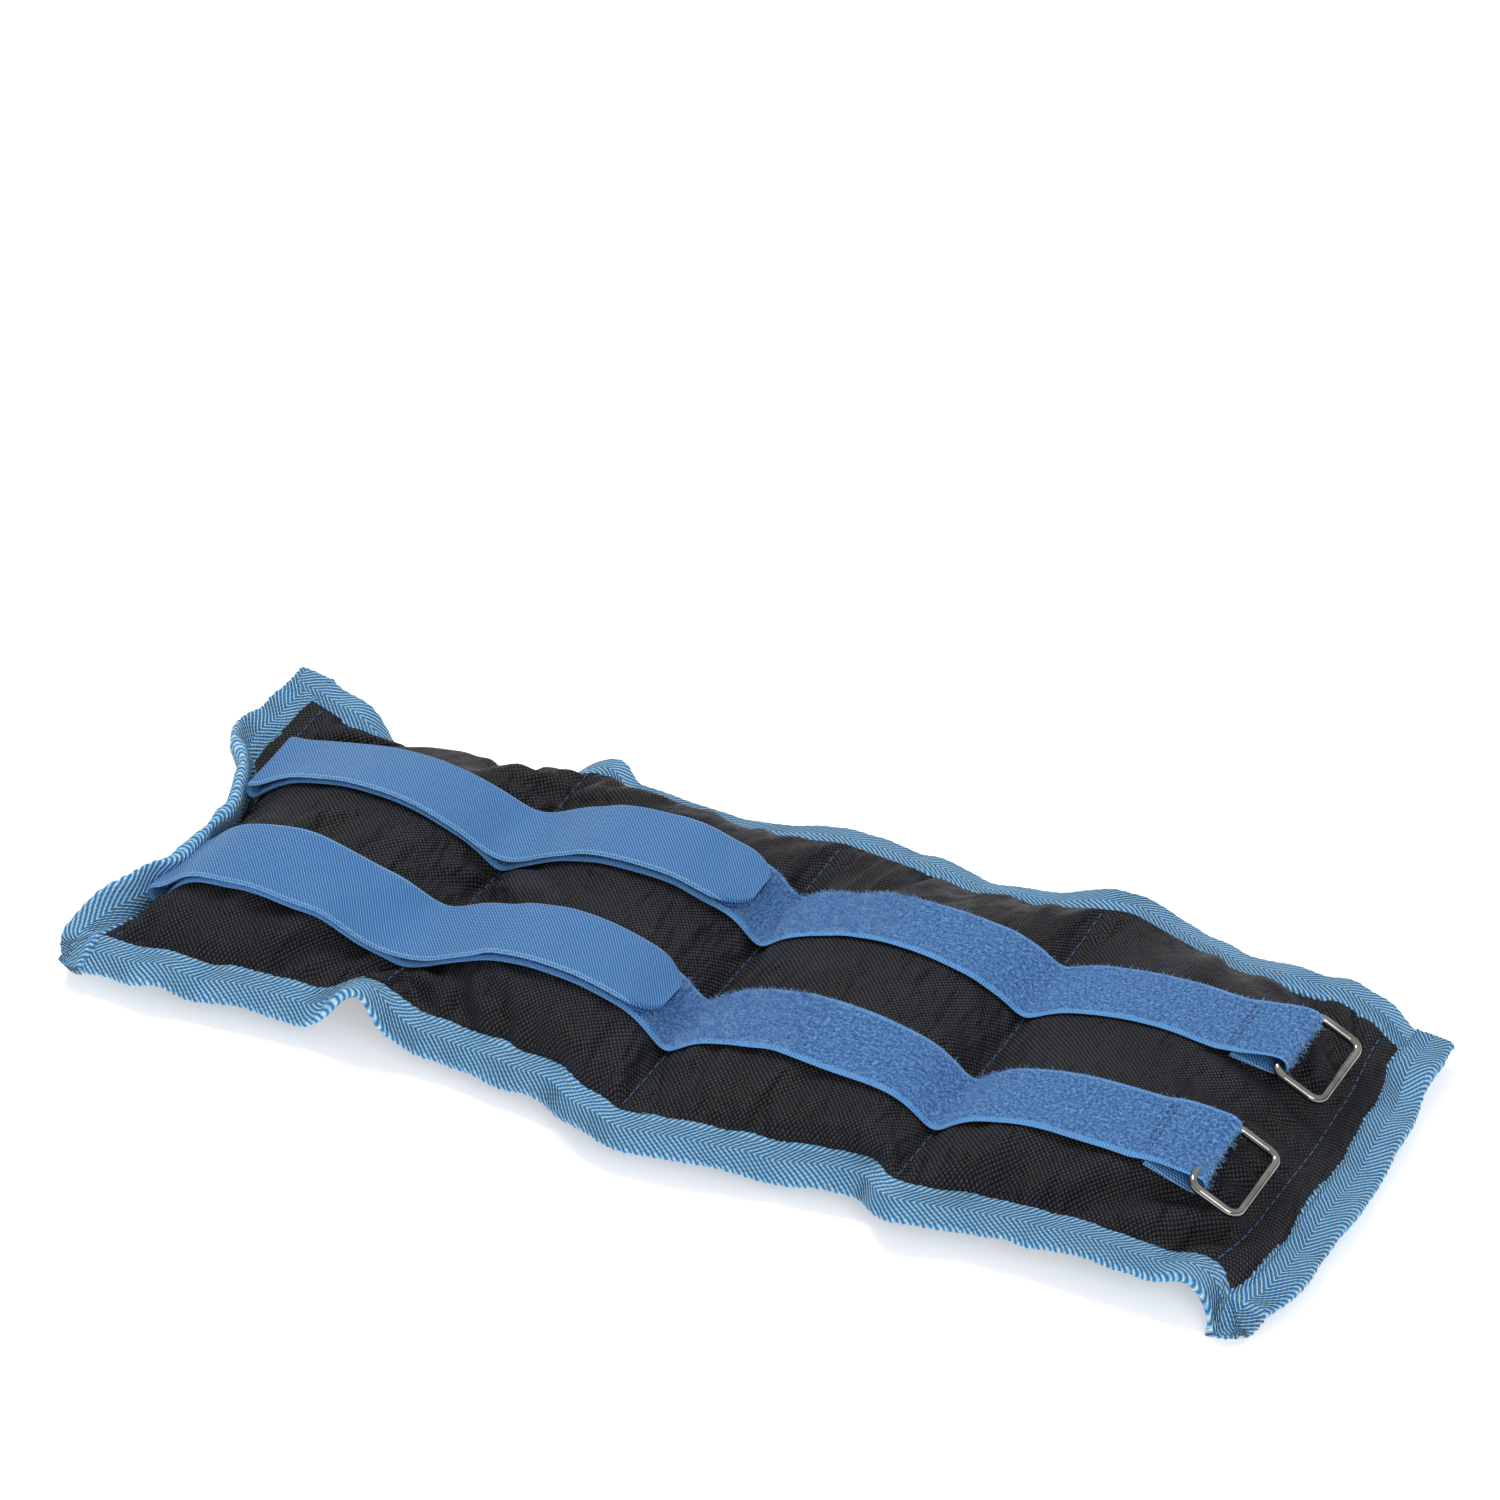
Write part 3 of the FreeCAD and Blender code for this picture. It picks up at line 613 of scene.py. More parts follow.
def bag_film():
    s = Surface("bag_film", 0.35)
    marks = s.noise(300, 3)
    s.colour(s.ramp(marks, [(0.4, (206, 208, 210)), (0.6, (228, 230, 232))]))
    s.bump((marks, 0.3))
    return s.material


def iron_sand():
    s = Surface("iron_sand", 0.6, Metallic=0.3)
    grain = s.noise(1800, 3)
    s.colour(s.ramp(grain, [(0.35, (38, 36, 36)), (0.65, (92, 88, 86))]))
    s.rough(grain, 0.4, 0.8)
    s.bump((grain, 0.5))
    return s.material


def table_top():
    s = Surface("table_top", 0.85, Specular_IOR_Level=0.2, Emission_Strength=0.42)
    s.shader.inputs["Emission Color"].default_value = (1.0, 1.0, 1.0, 1.0)
    s.colour(s.ramp(s.noise(6, 2), [(0.3, (247, 247, 247)), (0.7, (250, 250, 250))]))
    return s.material


NYLON, TAPE, LOOP, WEBBING = nylon_cloth(), binding_tape(), loop_pile(), webbing_back()
HOOKS, FIBRE, THREAD, NICKEL = hook_tape(), fibre(), sewing_thread(), nickel_wire()
FILM, SAND, TABLE = bag_film(), iron_sand(), table_top()


TOP, BOTTOM = fill_pockets()
TOP = finer(TOP, DETAIL)
BOTTOM = finer(BOTTOM, DETAIL)
PATTERN_U = np.interp(np.arange(len(TOP)) / DETAIL, np.arange(len(COLUMNS)), COLUMNS)
PATTERN_V = np.interp(np.arange(len(TOP[0])) / DETAIL, np.arange(len(ROWS)), ROWS)


def steepen():
    """Raises the shoulders of the pockets, so that they fall steeply to their seams."""
    rise = np.maximum(TOP[..., 2] - SEAM_HEIGHT, 0) / CROWN
    TOP[..., 2] += CROWN * (np.maximum(rise, 1e-6) ** STEEPER - rise) * (rise > 0)


def gather():
    """Folds that run in from the taped edges, where the cloth is gathered under the tape."""
    rng = np.random.default_rng(91)
    for layer, way in ((TOP, 1.0), (BOTTOM, -1.0)):
        folds = np.zeros(layer.shape[:2])
        for left, right in zip(LINES, LINES[1:]):
            inside = smoothstep((PATTERN_U - left) / 4) * smoothstep((right - PATTERN_U) / 4)
            for edge in (-1, 1):
                inward = INNER_Y - edge * PATTERN_V[None, :]
                for _ in range(FOLDS):
                    start, tilt = rng.uniform(left + 5, right - 5), rng.normal() * 0.4
                    width = rng.uniform(*FOLD_WIDTH)
                    tall = rng.uniform(*FOLD_HEIGHT) * rng.choice([-1.0, 1.0])
                    reach = np.exp(-inward / rng.uniform(*FOLD_REACH)) * (1 - np.exp(-inward / 2.5))
                    across_fold = (PATTERN_U[:, None] - start - tilt * inward) / width
                    folds += tall * np.exp(-across_fold ** 2) * reach * inside[:, None]
        layer[..., 2] += way * folds
    BOTTOM[..., 2] = np.maximum(BOTTOM[..., 2], FLOOR)
    TOP[..., 2] = np.maximum(TOP[..., 2], BOTTOM[..., 2] + 2 * THICKNESS)


steepen()
gather()
TOP[..., 2] += THICKNESS
BOTTOM[..., 2] = np.maximum(BOTTOM[..., 2] - THICKNESS, 0.1)


def grid_faces(index):
    """Quads between neighbouring entries of a grid of vertex numbers, facing up."""
    corners = [index[:-1, :-1], index[1:, :-1], index[1:, 1:], index[:-1, 1:]]
    return np.stack([c.ravel() for c in corners], axis=-1)


# Making pieces.


def ring_normals(rings):
    """Outward directions of a piece's points, from its neighbours along and round it."""
    along = np.gradient(rings, axis=0)
    around = np.roll(rings, -1, axis=1) - np.roll(rings, 1, axis=1)
    return unit(np.cross(along, around))


def ring_piece(name, rings, weave, materials, normals=None, extra=None):
    """A closed mesh through the rings, with a material for its upper side, its lower side and any
    extra faces, such as loose fibres."""
    count, size = rings.shape[:2]
    half = size // 2
    index = np.arange(count * size).reshape(count, size)
    turned = np.roll(index, -1, axis=1)
    faces = np.stack([index[:-1], index[1:], turned[1:], turned[:-1]], axis=-1).reshape(-1, 4)
    lower = np.tile(np.arange(size) >= half - 1, count - 1)
    k = np.arange(half - 1)
    cap = np.stack([k, k + 1, size - 2 - k, size - 1 - k], axis=-1)
    faces = np.concatenate([faces, cap, (cap + index[-1, 0])[:, ::-1]])
    lower = np.concatenate([lower, np.zeros(2 * len(k), bool)])
    points = rings.reshape(-1, 3)
    pattern = weave.reshape(-1, 2)
    normals = (ring_normals(rings) if normals is None else normals).reshape(-1, 3)
    faces = faces.tolist()
    if extra is not None:
        faces += [[i + len(points) for i in face] for face in extra["faces"]]
        lower = np.concatenate([lower, np.full(len(extra["faces"]), 2)])
        points = np.concatenate([points, extra["points"]])
        pattern = np.concatenate([pattern, extra["weave"]])
        normals = np.concatenate([normals, extra["normals"]])
    piece = mesh_piece(name, points, faces, materials, pattern)
    used = np.minimum(lower, len(materials) - 1).astype(np.int32)
    piece.data.polygons.foreach_set("material_index", used)
    piece.data.normals_split_custom_set_from_vertices(normals.tolist())
    return piece


def put(name, data):
    thing = bpy.data.objects.new(name, data)
    bpy.context.scene.collection.objects.link(thing)
    return thing


def mesh_piece(name, points, faces, materials, pattern=None):
    """A smooth mesh from points in millimetres, with the place of each on the pattern."""
    mesh = bpy.data.meshes.new(name)
    mesh.from_pydata((np.asarray(points) * MM).tolist(), [], faces)
    mesh.polygons.foreach_set("use_smooth", [True] * len(mesh.polygons))
    for material in materials:
        mesh.materials.append(material)
    if pattern is not None:
        corners = np.empty(len(mesh.loops), np.int32)
        mesh.loops.foreach_get("vertex_index", corners)
        layer = mesh.uv_layers.new(name="weave")
        layer.data.foreach_set("uv", np.asarray(pattern)[corners].astype(np.float32).ravel())
    mesh.update()
    return put(name, mesh)


def capsules(name, dashes, radius, materials, sides=6):
    """Short threads from point to point, round in section and closed at both ends."""
    shape = [(0.0, 0.35), (0.14, 0.85), (0.5, 1.0), (0.86, 0.85), (1.0, 0.35)]
    angles = np.arange(sides) * 2 * np.pi / sides
    points, faces = [], []
    for start, stop in dashes:
        start, stop = np.asarray(start, float), np.asarray(stop, float)
        along = unit(stop - start)
        side = unit(np.cross(along, [0, 0, 1.0]))
        up = np.cross(side, along)
        base = len(points)
        for place, width in shape:
            middle = start + (stop - start) * place + up * radius * 0.5 * math.sin(math.pi * place)
            for angle in angles:
                points.append(middle + radius * width * (side * math.cos(angle) + up * math.sin(angle)))
        for ring in range(len(shape) - 1):
            for i in range(sides):
                j = (i + 1) % sides
                a = base + ring * sides
                faces.append([a + j, a + i, a + i + sides, a + j + sides])
        faces.append([base + i for i in range(sides)])
        faces.append([base + (len(shape) - 1) * sides + i for i in reversed(range(sides))])
    return mesh_piece(name, points, faces, materials)


def stand_for(piece, body, node):
    """Makes a piece ride on a body, in place of a node of the frame."""
    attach(piece, body)
    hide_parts(node)


def bend_at(piece, seam, before, after):
    """Bakes a piece's place into its mesh. The seam and the two pockets on its sides are not used."""
    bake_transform(piece)
    return piece


POCKETS = ["pocket_1", "pocket_2", "pocket_3", "pocket_4"]
STRETCHES = [(-1e3, MIDDLES[1]), (MIDDLES[1], MIDDLES[2]), (MIDDLES[2], 1e3)]


def split_along(name, rings, weave, materials, places, extras=None):
    """Three pieces of a long strip, cut mid-pocket."""
    normals = ring_normals(rings)
    pieces = []
    for number, (low, high) in enumerate(STRETCHES):
        first = int(np.searchsorted(places, low))
        last = min(len(places) - 1, int(np.searchsorted(places, high)))
        take = slice(first, last + 1)
        piece = ring_piece(
            f"{name}_{number + 1}", rings[take], weave[take], materials, normals[take],
            None if extras is None else extras[number],
        )
        bend_at(piece, number, POCKETS[number], POCKETS[number + 1])
        pieces.append(piece)
    return pieces


# The straps' lines. A strap's path starts under its ring, goes over the bar, along the cuff to the
# fold at the left end, and back on top of itself to its free tip.

PILE = 0.6  # half the thickness of the sewn strap
TAIL = 0.8  # half the thickness of the free strap
FOLD_X = FOLD[0] + 4.5  # where the fold's round begins
TAIL_LIFT_FROM, TAIL_LIFT_OVER = -138.0, 22.0  # towards its fold the free strap stands 1 mm higher
LEG = 133.0  # where the leg that goes under the bar is sewn down
SETTLED = 125.0  # where the strap comes down onto the cloth beside the ring
WIRE = 1.25  # the radius of the ring's wire
HOOK = (box_mm("hook_patch_front")[0][0], box_mm("hook_patch_front")[1][0])
TIP = box_mm("tail_end_front")[1][0]
TIP_ROUND = 11.5  # the radius of the strap's rounded end
STEP = 1.0  # spacing of a strap's rings
UNDER_HALF = 11.0  # the cloth is measured this far each side of a strap's middle
PRESS_HALF = 15.5  # a strap presses the cloth down this far each side,
PRESS_EDGE = 2.7  # less and less over the last stretch


def lean(side, x):
    """The middle of a strap at a place along the cuff."""
    middle = STRAP_AT[side] - STRAP_SKEW * (BAR[0] - x) / (BAR[0] - FOLD[0])
    return middle + STRAP_SHIFT[side] * smoothstep((SHIFT_FROM - x) / SHIFT_OVER)


def sample_under(side, places):
    """Height and cross slope of the cloth under a strap, smoothed as the webbing smooths it."""
    index = np.arange(TOP.shape[0] * TOP.shape[1]).reshape(TOP.shape[:2])
    tree = BVHTree.FromPolygons([tuple(p) for p in TOP.reshape(-1, 3)], grid_faces(index).tolist())
    offsets = np.linspace(-UNDER_HALF, UNDER_HALF, 9)
    heights = np.empty((len(places), len(offsets)))
    for i, x in enumerate(places):
        for j, offset in enumerate(offsets):
            hit = tree.ray_cast(Vector((x, lean(side, x) + offset, 90)), Vector((0, 0, -1)))[0]
            heights[i, j] = hit.z if hit else SEAM_HEIGHT
    height = gaussian(heights.mean(1) + 0.35 * (heights.max(1) - heights.mean(1)), 1.8)
    slope = gaussian((heights * offsets).sum(1) / (offsets ** 2).sum(), 5.0) * 0.8
    return height, slope


PLACES = np.arange(FOLD_X - 6, BAR[0] + 8, STEP)
UNDER = {side: sample_under(side, PLACES) for side in ("front", "rear")}


def cloth_height(side, x):
    """Height of the cloth under a strap."""
    return np.interp(x, PLACES, UNDER[side][0])


def cloth_slope(side, x):
    """How much the cloth under a strap rises from front to back."""
    return np.interp(x, PLACES, UNDER[side][1])


BAR_RADIUS = WIRE + PILE + 0.1


def under_leg(side, x):
    """Height of the strap's middle under the bar."""
    start = cloth_height(side, LEG) + PILE
    end = BAR[2] - BAR_RADIUS * 0.94
    return start + (end - start) * (np.asarray(x) - LEG) / (BAR[0] - 0.7 - LEG)


def press_cloth():
    """Pushes the cloth down under the straps, with a soft edge beside them."""
    for side in ("front", "rear"):
        x, y = TOP[..., 0], TOP[..., 1]
        offset = y - lean(side, x)
        limit = cloth_height(side, x) + cloth_slope(side, x) * offset - 0.12
        limit = np.where(x > LEG - 6, np.minimum(limit, under_leg(side, x) - PILE - 0.25), limit)
        limit = np.where(x > BAR[0] + 3, 1e3, limit)
        weight = smoothstep((PRESS_HALF - abs(offset)) / PRESS_EDGE) * smoothstep((x - FOLD_X + 8) / 4)
        lowered = TOP[..., 2] + weight * (np.minimum(TOP[..., 2], limit) - TOP[..., 2])
        TOP[..., 2] = np.maximum(lowered, BOTTOM[..., 2] + 2 * THICKNESS)


press_cloth()


def strap_path(side):
    """Points of the middle of a strap, and how far along it the fold starts and ends."""
    leg = np.arange(LEG, BAR[0] - 1.2, STEP)
    turn = np.radians(np.arange(-105, 81, 15))
    xs = [*leg, *[BAR[0] + BAR_RADIUS * math.cos(angle) for angle in turn]]
    zs = [*under_leg(side, leg), *[BAR[2] + BAR_RADIUS * math.sin(angle) for angle in turn]]
    seat = cloth_height(side, SETTLED) + PILE
    high = max(cloth_height(side, LEG) + 3 * PILE + 0.1, seat)
    knots = [
        (BAR[0] - 1.5, BAR[2] + BAR_RADIUS + 0.1), (LEG + 3, high + 0.1), (LEG, high),
        (LEG - 3, cloth_height(side, LEG - 3) + PILE + 0.25), (SETTLED, seat),
    ]
    back = np.arange(BAR[0] - 1.5, SETTLED, -STEP)
    base = np.arange(SETTLED, FOLD_X, -STEP)
    xs += [*back, *base]
    zs += [*np.interp(-back, [-k[0] for k in knots], [k[1] for k in knots])]
    zs += [*(cloth_height(side, base) + PILE)]
    bottom = cloth_height(side, FOLD_X) + PILE
    tail_x = np.arange(FOLD_X, TIP + 0.01, STEP)
    bridging = np.maximum(gaussian(cloth_height(side, tail_x), 5.0), cloth_height(side, tail_x))
    on_hook = smoothstep((tail_x - HOOK[0] + 6) / 6) * 0.95
    lifted = smoothstep((TAIL_LIFT_FROM - tail_x) / TAIL_LIFT_OVER)
    tail_z = gaussian(bridging, 2.0) + 2 * PILE + TAIL + 0.2 + on_hook + lifted
    radius = (tail_z[0] - bottom) / 2
    start_fold = len(xs)
    for angle in np.radians(np.arange(-90, -271, -15)):
        xs.append(FOLD_X + radius * math.cos(angle) * 1.15)
        zs.append(bottom + radius + radius * math.sin(angle))
    end_fold = len(xs)
    xs += [*tail_x[1:]]
    zs += [*tail_z[1:]]
    xs, zs = np.array(xs), np.array(zs)
    straightened = gaussian(np.stack([xs, zs], -1), 1.2)
    keep = np.zeros(len(xs))
    keep[len(leg) - 1:len(leg) + len(turn)] = 1
    keep = gaussian(keep, 1.0)[:, None]
    xs, zs = (straightened * (1 - keep) + np.stack([xs, zs], -1) * keep).T
    return np.stack([xs, lean(side, xs), zs], axis=-1), start_fold, end_fold


LATERAL = 17  # points across a strap
FIBRE_HEIGHT = (0.5, 1.7)


def strap_rings(side, rng):
    """The whole strap as rings, with its path and the places where its fold starts and ends."""
    path, start_fold, end_fold = strap_path(side)
    tangent = unit(np.gradient(path, axis=0))
    tilt = np.arctan(cloth_slope(side, path[:, 0]))
    across = np.stack([np.zeros(len(path)), np.cos(tilt), np.sin(tilt)], axis=-1)
    across = unit(across - tangent * (across * tangent).sum(1, keepdims=True))
    up = unit(np.cross(across, tangent))
    length = np.concatenate([[0], np.cumsum(np.linalg.norm(np.diff(path, axis=0), axis=1))])
    number = np.arange(len(path))
    tail = smoothstep((number - start_fold) / max(1, end_fold - start_fold))
    near_bar = np.exp(-((path[:, 0] - BAR[0] + 2) / 9.0) ** 2) * (number < start_fold)
    wander = gaussian(rng.normal(size=len(path)), 8) * 0.7
    half_width = STRAP_WIDTH / 2 * (1 - 0.07 * near_bar) + 0.12 * gaussian(rng.normal(size=len(path)), 3)
    from_tip = TIP - path[:, 0]
    at_tip = (number >= end_fold) & (from_tip < TIP_ROUND)
    squeeze = np.clip(1 - from_tip / TIP_ROUND, 0, 0.995)
    rounded = STRAP_WIDTH / 2 - TIP_ROUND * (1 - np.sqrt(1 - squeeze ** 2))
    half_width = np.where(at_tip, rounded, half_width)
    place = np.linspace(-1, 1, LATERAL)
    place = np.sign(place) * (1 - (1 - abs(place)) ** 1.25)
    s = place[None, :] * half_width[:, None]
    inside = half_width[:, None] - abs(s)
    rounding = np.sqrt(np.clip(1 - (1 - np.clip(inside / 0.5, 0, 1)) ** 2, 0.02, 1))
    thick = (PILE + (TAIL - PILE) * tail)[:, None]
    selvedge = smoothstep((inside - 1.3) / 0.7)
    over = rounding * (thick * (0.55 + 0.45 * selvedge) + 0.05)
    below = -rounding * thick * (1 - 0.1 * smoothstep((1.2 - inside) / 1.2) * tail[:, None])
    curl = (place[None, :] ** 4) * near_bar[:, None] * 0.9
    sway = wander[:, None] * np.ones_like(s) * (1 - near_bar[:, None])

    def spread(height):
        return (
            path[:, None, :] + across[:, None, :] * (s + sway * 0.5)[..., None]
            + up[:, None, :] * (height + curl)[..., None]
        )

    pattern = np.stack([np.repeat(length[:, None], LATERAL, 1), s + STRAP_WIDTH / 2], axis=-1)
    rings, weave = ringed(spread(over), spread(below)), ringed(pattern, pattern)
    return rings, weave, path, up, across, start_fold, end_fold


def fuzz(rings, up, rng, low, high, count):
    """Stray fibres standing out of the pile between two places, as thin bent threads."""
    x = rings[:, LATERAL // 2, 0]
    usable = np.flatnonzero((x > low) & (x < high))
    if not len(usable):
        return None
    points, faces, normals, weave = [], [], [], []
    for _ in range(count):
        i = int(rng.choice(usable))
        j = int(rng.integers(1, LATERAL - 1))
        part = rng.random()
        here = rings[i, j] * (1 - part) + rings[i, j + 1 if j < LATERAL - 2 else j - 1] * part
        root = here - up[i] * 0.15 + rng.normal(size=3) * [0.5, 0.0, 0.0]
        lay = rng.normal(size=3) * 0.8
        direction = unit(up[i] * 0.8 + lay * 0.6)
        side = unit(np.cross(direction, rng.normal(size=3)))
        third = np.cross(direction, side)
        tall = rng.uniform(*FIBRE_HEIGHT)
        bend = side * rng.uniform(-0.5, 0.5) * tall
        base = len(points)
        for place, width in ((0.0, 0.085), (0.55, 0.07), (1.0, 0.025)):
            middle = root + direction * tall * place + bend * place ** 2
            for angle in (0.0, 2.094, 4.189):  # thirds of a turn
                out = side * math.cos(angle) + third * math.sin(angle)
                points.append(middle + out * width)
                normals.append(out)
                weave.append((0.0, STRAP_WIDTH / 2))
        for ring in (base, base + 3):
            for k in range(3):
                following = (k + 1) % 3
                faces.append([ring + k, ring + following, ring + 3 + following, ring + 3 + k])
        faces.append([base + 2, base + 1, base])
        faces.append([base + 6, base + 7, base + 8])
    extra = {"points": points, "normals": normals, "weave": weave}
    return {"faces": faces, **{key: np.array(rows) for key, rows in extra.items()}}


# The quilted body, in three pieces that part mid-pocket.


def make_body():
    pattern = np.stack(np.meshgrid(PATTERN_U, PATTERN_V, indexing="ij"), axis=-1)
    rings, weave = ringed(TOP, BOTTOM), ringed(pattern, pattern)
    pieces = split_along("body", rings, weave, [NYLON], PATTERN_U)
    for piece, numbers in zip(pieces, ((1,), (2, 3), (4,))):
        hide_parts(*[f"{side}_cover_{n}" for n in numbers for side in ("front", "back")])


make_body()


# The bags of sand inside the pockets.

CLEAR_OF = 3  # how many of the cloth's points each way a bag keeps clear of


def tightest(heights, pick):
    """The lowest or highest of each point's neighbours, for a shape that stays clear of the cloth."""
    shifts = range(-CLEAR_OF, CLEAR_OF + 1)
    return pick([np.roll(heights, (i, j), axis=(0, 1)) for i in shifts for j in shifts], axis=0)


def make_filling():
    """A bag in each pocket, and the sand in each bag."""
    middle = (TOP + BOTTOM) / 2
    roof, bed = tightest(TOP[..., 2], np.min), tightest(BOTTOM[..., 2], np.max)
    for number, (left, right) in enumerate(zip(LINES, LINES[1:])):
        for node, inset, gap, material, slot in (
            ("weight_bag", 14.0, 2.2, FILM, "bag_film"), ("sand_fill", 15.5, 3.1, SAND, "iron_sand"),
        ):
            columns = np.flatnonzero((PATTERN_U > left + inset) & (PATTERN_U < right - inset))[::DETAIL]
            rows = np.flatnonzero(abs(PATTERN_V) < INNER_Y - inset - 3)[::DETAIL]
            pick = np.ix_(columns, rows)
            upper, lower = middle[pick], middle[pick]
            level, half = (roof + bed)[pick] / 2, np.maximum((roof - bed)[pick] / 2 - gap, 0.05)
            upper[..., 2], lower[..., 2] = level + half, level - half
            rings = ringed(upper, lower)
            piece = ring_piece(f"{node}_in_{number + 1}", rings, rings[..., :2], [material])
            stand_for(piece, POCKETS[number], f"{node}_{number + 1}")


make_filling()


# The binding. Its middle surface runs on from the flat edge of the cloth, tips down or up as the
# edge tables say, and goes round the corners in one sweep with both strips on it.

TAPE_STEP = 0.65
TAPE_HALF = 1.3  # half the thickness of the folded tape
END_TAPE_HALF = 1.85  # of the tapes across the ends
TAPE_ROWS = np.array([
    0, 0.25, 0.7, 1.3, 1.9, 2.5, 3.4, 4.4, 5.4, 6.4, 7.4, 8.4, 9.3, 10.1, 10.8, 11.3, 11.7, 11.9, 12.0
])  # its points from the inner edge to the fold, in twelfths of its width
ROUND_FRONT = 1.0  # how round the front corners are, from square to a quarter circle
ROUND_BACK = 0.1  # and the back ones
OVERLAP = 1.0  # how far the tape lies over the filled cloth


def rim(u, v):
    """A point of the edge's middle surface at a place of the pattern."""
    u, v = np.broadcast_arrays(np.asarray(u, float), np.asarray(v, float))
    inner_u, inner_v = np.clip(u, -INNER_X, INNER_X), np.clip(v, -INNER_Y, INNER_Y)
    past_u, past_v = u - inner_u, v - inner_v
    reach = np.hypot(past_u, past_v) + 1e-9
    turn = np.maximum(abs(past_u), abs(past_v)) / reach
    turn = 1 + (turn - 1) * np.where(v < 0, ROUND_FRONT, ROUND_BACK)
    past_u, past_v = past_u * turn, past_v * turn
    tip_v = np.radians(np.where(v < 0, soft_curve(FRONT_EDGE, 3, u), soft_curve(BACK_EDGE, 3, u)))
    tip_u = np.radians(np.where(u < 0, soft_curve(LEFT_EDGE, 3, v), soft_curve(RIGHT_EDGE, 3, v)))
    point = plan(inner_u, inner_v)
    point[..., 0] += past_u * np.cos(tip_u)
    point[..., 1] += past_v * np.cos(tip_v)
    point[..., 2] -= abs(past_u) * np.sin(tip_u) + abs(past_v) * np.sin(tip_v)
    return point


def ripple(places, seed, length, height):
    """A smooth random wave along an edge."""
    rng = np.random.default_rng(seed)
    fine = np.arange(-200, 201, 1.0)
    wave = gaussian(rng.normal(size=len(fine)), length)
    return np.interp(places, fine, wave / wave.std() * height)


def tape_rings(along_u, side, places, thickness, seed):
    """A folded tape along an edge. Places run along it, and its width goes outward."""
    wide = TAPE_WIDTH - HEM + OVERLAP
    lateral = TAPE_ROWS / 12.0 * wide
    inner = INNER_Y if along_u else INNER_X
    scallop = 0.2 * np.sin(2 * np.pi * places / 2.7) + ripple(places, seed, 3, 0.22)
    edge = np.clip((lateral - wide + 4) / 4, 0, 1) ** 2
    back = np.clip(1 - lateral / 2.5, 0, 1) ** 2
    out = inner - OVERLAP + lateral[None, :] + scallop[:, None] * (edge - back)[None, :]
    spots = np.repeat(places[:, None], len(lateral), axis=1)
    u, v = (spots, side * out) if along_u else (side * out, spots)
    middle = rim(u, v)
    middle[..., 2] += ripple(places, seed + 1, 4, 0.55)[:, None] * (lateral / wide) ** 0.5
    normal = unit(np.cross(np.gradient(middle, axis=0), np.gradient(middle, axis=1)))
    normal *= np.sign(normal[..., 2:3].mean())
    nose = np.sqrt(np.clip(1 - np.clip((lateral - (wide - thickness)) / thickness, 0, 1) ** 2, 0.001, 1))
    groove = 0.30 * np.exp(-((lateral - 2.3) / 0.55) ** 2)
    lip = np.clip(lateral / 0.7, 0.25, 1) ** 0.5
    half = thickness * nose * lip - groove
    half = half[None, :] * (1 + 0.16 * ripple(places, seed + 2, 2.2, 1.0)[:, None])
    half = np.maximum(half, 0.06)[..., None]
    over, under = middle + normal * half, middle - normal * half
    lowest = np.maximum(0.15 - under[..., 2], 0)[..., None] * [0, 0, 1.0]
    over, under = over + lowest, under + lowest
    pattern = np.stack(np.meshgrid(places, lateral, indexing="ij"), axis=-1)
    rings, weave = ringed(over, under), ringed(pattern, pattern)
    if (side > 0) != along_u:
        return rings[:, ::-1], weave[:, ::-1]
    return rings, weave


def make_binding():
    reach = HALF_LENGTH - 3.0
    places = np.arange(-reach, reach + 0.01, TAPE_STEP)
    for name, side, seed in (("front", -1, 11), ("back", 1, 21)):
        rings, weave = tape_rings(True, side, places, TAPE_HALF, seed)
        pieces = split_along(f"{name}_tape", rings, weave, [TAPE], places)
        for piece, numbers in zip(pieces, ((1,), (2, 3), (4,))):
            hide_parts(*[f"{name}_binding_{n}" for n in numbers])
    reach = HALF_WIDTH + 0.4
    places = np.arange(-reach, reach + 0.01, TAPE_STEP)
    for name, side, seed, body in (("left", -1, 31, "pocket_1"), ("right", 1, 41, "pocket_4")):
        rings, weave = tape_rings(False, side, places, END_TAPE_HALF, seed)
        piece = ring_piece(f"{name}_tape", rings, weave, [TAPE])
        stand_for(piece, body, f"{name}_end_binding")


make_binding()


# The straps.


